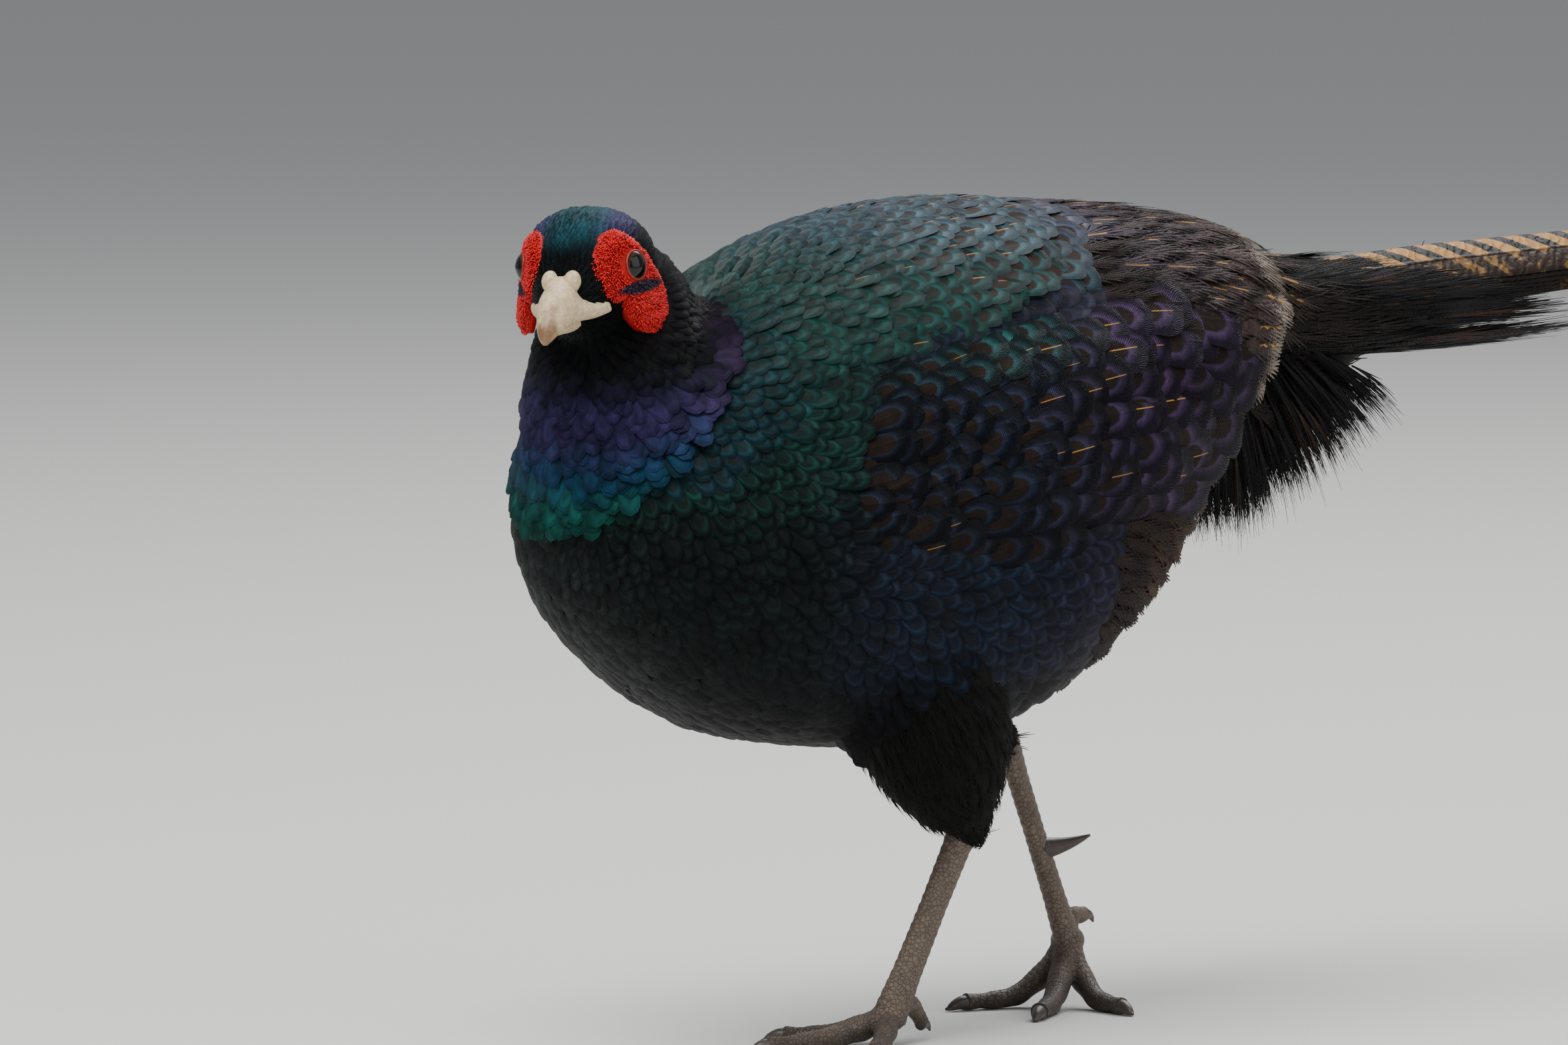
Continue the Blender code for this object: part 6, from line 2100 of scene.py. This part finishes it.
@dataclass
class Fringe:
    """Loose plumes that hang below the tail's root, and the pale-tipped ones along the rump's rear edge."""

    hanging: int = 900
    trailing: int = 700
    seed: int = 77

    def free(self, plumage: Plumage, root: Array, way: Array, up: Array, size: Array, bend: Array,
             chance: np.random.Generator) -> Roots:
        """Roots of plumes that do not lie on the skin.

        Args:
            plumage: the map of the skin.
            root: where they grow.
            way: the ways they run.
            up: the ways their flat sides face.
            size: their lengths, widths and thicknesses.
            bend: how they bend.
            chance: for the small differences.

        Returns:
            The roots, in black with a few brown ones.
        """
        count = len(root)
        up = unit(up - way * (up * way).sum(1, keepdims=True))
        _, face, _ = plumage.surface.nearest(root)
        patch = np.hstack([plumage.patches[face], np.zeros((count, 1))])
        tint = np.array((0.0060, 0.0050, 0.0052)) * (0.6 + 0.9 * chance.random((count, 1)))
        tint = np.where(chance.random((count, 1)) < 0.12, np.array((0.030, 0.014, 0.007)), tint)
        mark = np.tile((0.0, 0.3, 0.1, 0.0), (count, 1))
        return Roots(root, way, up, size, bend, tint, tint * 0.8, mark, patch)

    def hang(self, plumage: Plumage) -> Roots:
        """Roots of the hanging plumes."""
        chance = np.random.default_rng(self.seed)
        count = self.hanging
        t = chance.random(count)
        y, z, angle, length = through(PLUMES, t).T
        side = np.sign(chance.random(count) - 0.5)
        inner = chance.random(count)
        x = side * (0.0050 + 0.0125 * inner)
        angle = np.radians(angle + 4 * (chance.random(count) - 0.5))
        way = unit(columns(-0.04 * side, np.cos(angle), -np.sin(angle)))
        up = columns(side, 0.2 * (chance.random(count) - 0.5), 0.1)
        back = 0.042 * chance.random(count) ** 1.2
        root = columns(x, y, z) - way * back[:, None]
        length = back + length * (0.74 + 0.30 * chance.random(count)) * (1 - 0.22 * t)
        size = columns(length, 0.0040 + 0.0035 * chance.random(count), 0.0003)
        droop = side * (0.10 + 0.16 * chance.random(count)) * np.cos(angle)
        bend = columns(0.06 * chance.random(count), 0.10 + 0.10 * chance.random(count), droop)
        return self.free(plumage, root, way, up, size, bend, chance)

    def along_tail(self, plumage: Plumage) -> Roots:
        """Roots of the long coverts that lie back along the tail's sides and hang a little under its edges."""
        chance = np.random.default_rng(self.seed + 5)
        count = self.trailing
        side = np.sign(chance.random(count) - 0.5)
        turn = np.radians(-62 + 118 * chance.random(count) ** 1.25)
        y = 0.120 + 0.070 * chance.random(count) - 0.046 * smooth(0.1, 0.9, turn)
        middle, half = 0.2465, 0.0175
        root = columns(side * 0.0255 * np.cos(turn), y, middle + half * np.sin(turn) - 0.004 * (turn < -0.6))
        low = smooth(0.1, -0.9, turn)
        way = unit(columns(-0.05 * side * (1 - low), 1.0, 0.035 + 0.055 * low * chance.random(count)))
        up = columns(side * np.cos(turn), 0.0, np.sin(turn))
        length = 0.040 + 0.056 * np.sqrt(low) * chance.random(count) + 0.016 * chance.random(count)
        length = length - 0.012 * smooth(0.2, 0.9, turn)
        size = columns(length, 0.0055 + 0.003 * chance.random(count), 0.0003)
        droop = side * (0.01 + 0.04 * low * chance.random(count))
        bend = columns(0.03, 0.05, droop)
        return self.free(plumage, root, way, up, size, bend, chance)

    def edge(self, plumage: Plumage) -> Roots:
        """Roots of the pale-tipped plumes, in two rows over the rump."""
        chance = np.random.default_rng(self.seed + 1)
        s = plumage.surface
        rows = []
        for y0, count in ((0.072, 30), (0.079, 38)):
            for number in range(count):
                turn = math.radians(-8 + 196 * (number + 0.3 * (chance.random() - 0.5)) / count)
                x, z = 0.08 * math.cos(turn), 0.232 + 0.08 * math.sin(turn)
                rows.append((x, y0 + 0.004 * chance.random(), z))
        place, face, _ = s.nearest(np.array(rows))
        ups = unit(s.read(s.normals, place, face))
        ways = unit(s.read(plumage.way, place, face))
        count = len(place)
        length = 0.043 + 0.003 * chance.random(count)
        made = lay(plumage, place, ways, ups, length, np.full(count, 0.0180), 0.0003, 0.0060, 0.08, chance, 0.7)
        made.tint[:] = np.array((0.056, 0.036, 0.034)) * (0.7 + 0.6 * chance.random((count, 1)))
        made.core[:] = (0.030, 0.018, 0.013)
        made.mark[:] = columns((chance.random(count) < 0.35) * 0.9, 0.5, 0.2,
                               0.85)
        return made

    def build(self, plumage: Plumage, coat: Coat) -> None:
        """Grow them.

        Args:
            plumage: the map of the skin.
            coat: what grows the plumes.
        """
        strand = Plume("strand", strands=5, spread=0.75, rows=5, strand_width=0.11, seed=9).make()
        soft = Plume("soft_plume", strands=13, spread=0.9, rows=5, strand_width=0.15, seed=14).make()
        dull = FeatherFinish("hair_feather", roughness=0.6, metallic=0.1, rim=0.8).make()
        edged = FeatherFinish("pale_tipped_feather", roughness=0.6, metallic=0.1, rim=0.8, shaft=(0.40, 0.76),
                              shaft_width=0.03).make()
        for name, made, seed in (("hanging_plumes", self.hang, 61), ("trailing_plumes", self.along_tail, 63)):
            grown = coat.grow(name, made(plumage), strand, dull, seed, 0.2)
            finished(grown, dull, (), False)
        finished(coat.grow("rump_edge", self.edge(plumage), soft, edged, 62, 0.12), edged, (), False)


@dataclass
class Stage:
    """The pale floor, the soft light and the camera."""

    azimuth: float = 52.0
    elevation: float = 5.0
    distance: float = 7.0
    lens: float = 450.0
    centre: tuple[float, float] = (-0.0704, 0.174)
    floor_size: float = 12.0
    # Each lamp: azimuth and height in degrees, power, size
    lamps: tuple[tuple[str, float, float, float, float], ...] = (
        ("key", 20, 58, 100, 1.8), ("fill", 110, 25, 26, 2.5), ("rim", 215, 50, 60, 1.6),
    )

    def build(self) -> None:
        """Make them."""
        a, e = math.radians(self.azimuth), math.radians(self.elevation)
        right = Vector((math.cos(a), math.sin(a), 0.0))
        back = Vector((math.sin(a) * math.cos(e), -math.cos(a) * math.cos(e), math.sin(e)))
        target = right * self.centre[0] + Vector((0, 0, self.centre[1])) + STAND
        data = bpy.data.cameras.new("camera")
        data.lens, data.sensor_width, data.clip_end = self.lens, 36.0, 50.0
        camera = bpy.data.objects.new("camera", data)
        camera.location = target + back * self.distance
        camera.rotation_euler = back.to_track_quat("Z", "Y").to_euler()
        bpy.context.scene.collection.objects.link(camera)
        bpy.context.scene.camera = camera
        material, _, shader = new_material("floor_paint", 0.8)
        shader.inputs["Base Color"].default_value = (0.62, 0.61, 0.59, 1.0)
        mesh = bpy.data.meshes.new("floor")
        half = self.floor_size
        corners = [(a * half, b * half, 0) for a, b in ((-1, -1), (1, -1), (1, 1), (-1, 1))]
        mesh.from_pydata(corners, [], [(0, 1, 2, 3)])
        mesh.materials.append(material)
        floor = stage_object("floor", mesh)
        floor.data.transform(Matrix.Translation((0, 0, -0.0004)))
        world = bpy.data.worlds.new("studio")
        world.use_nodes = True
        world.node_tree.nodes["Background"].inputs[0].default_value = (0.80, 0.84, 0.90, 1.0)
        world.node_tree.nodes["Background"].inputs[1].default_value = 0.36
        bpy.context.scene.world = world
        for name, turn, height, power, size in self.lamps:
            lamp = bpy.data.lights.new(name, "AREA")
            lamp.energy, lamp.size = power, size
            holder = bpy.data.objects.new(name, lamp)
            b, g = math.radians(turn), math.radians(height)
            way = Vector((math.sin(b) * math.cos(g), -math.cos(b) * math.cos(g), math.sin(g)))
            holder.location = Vector((0, 0, 0.2)) + way * 2.6
            holder.rotation_euler = way.to_track_quat("Z", "Y").to_euler()
            bpy.context.scene.collection.objects.link(holder)


def main() -> None:
    """Build the bird's looks in order."""
    logging.basicConfig(level=logging.INFO, format="%(message)s")
    Stage().build()
    down = SkinFinish().make()
    skin, plumage = Skin().build(down)
    finished(skin, down, SKIN_NODES)
    coat = Coat()
    Feathers().build(plumage, coat)
    Fringe().build(plumage, coat)
    Face().build(coat)
    Tail().build()
    Legs().build()


if __name__ == "__main__":
    main()
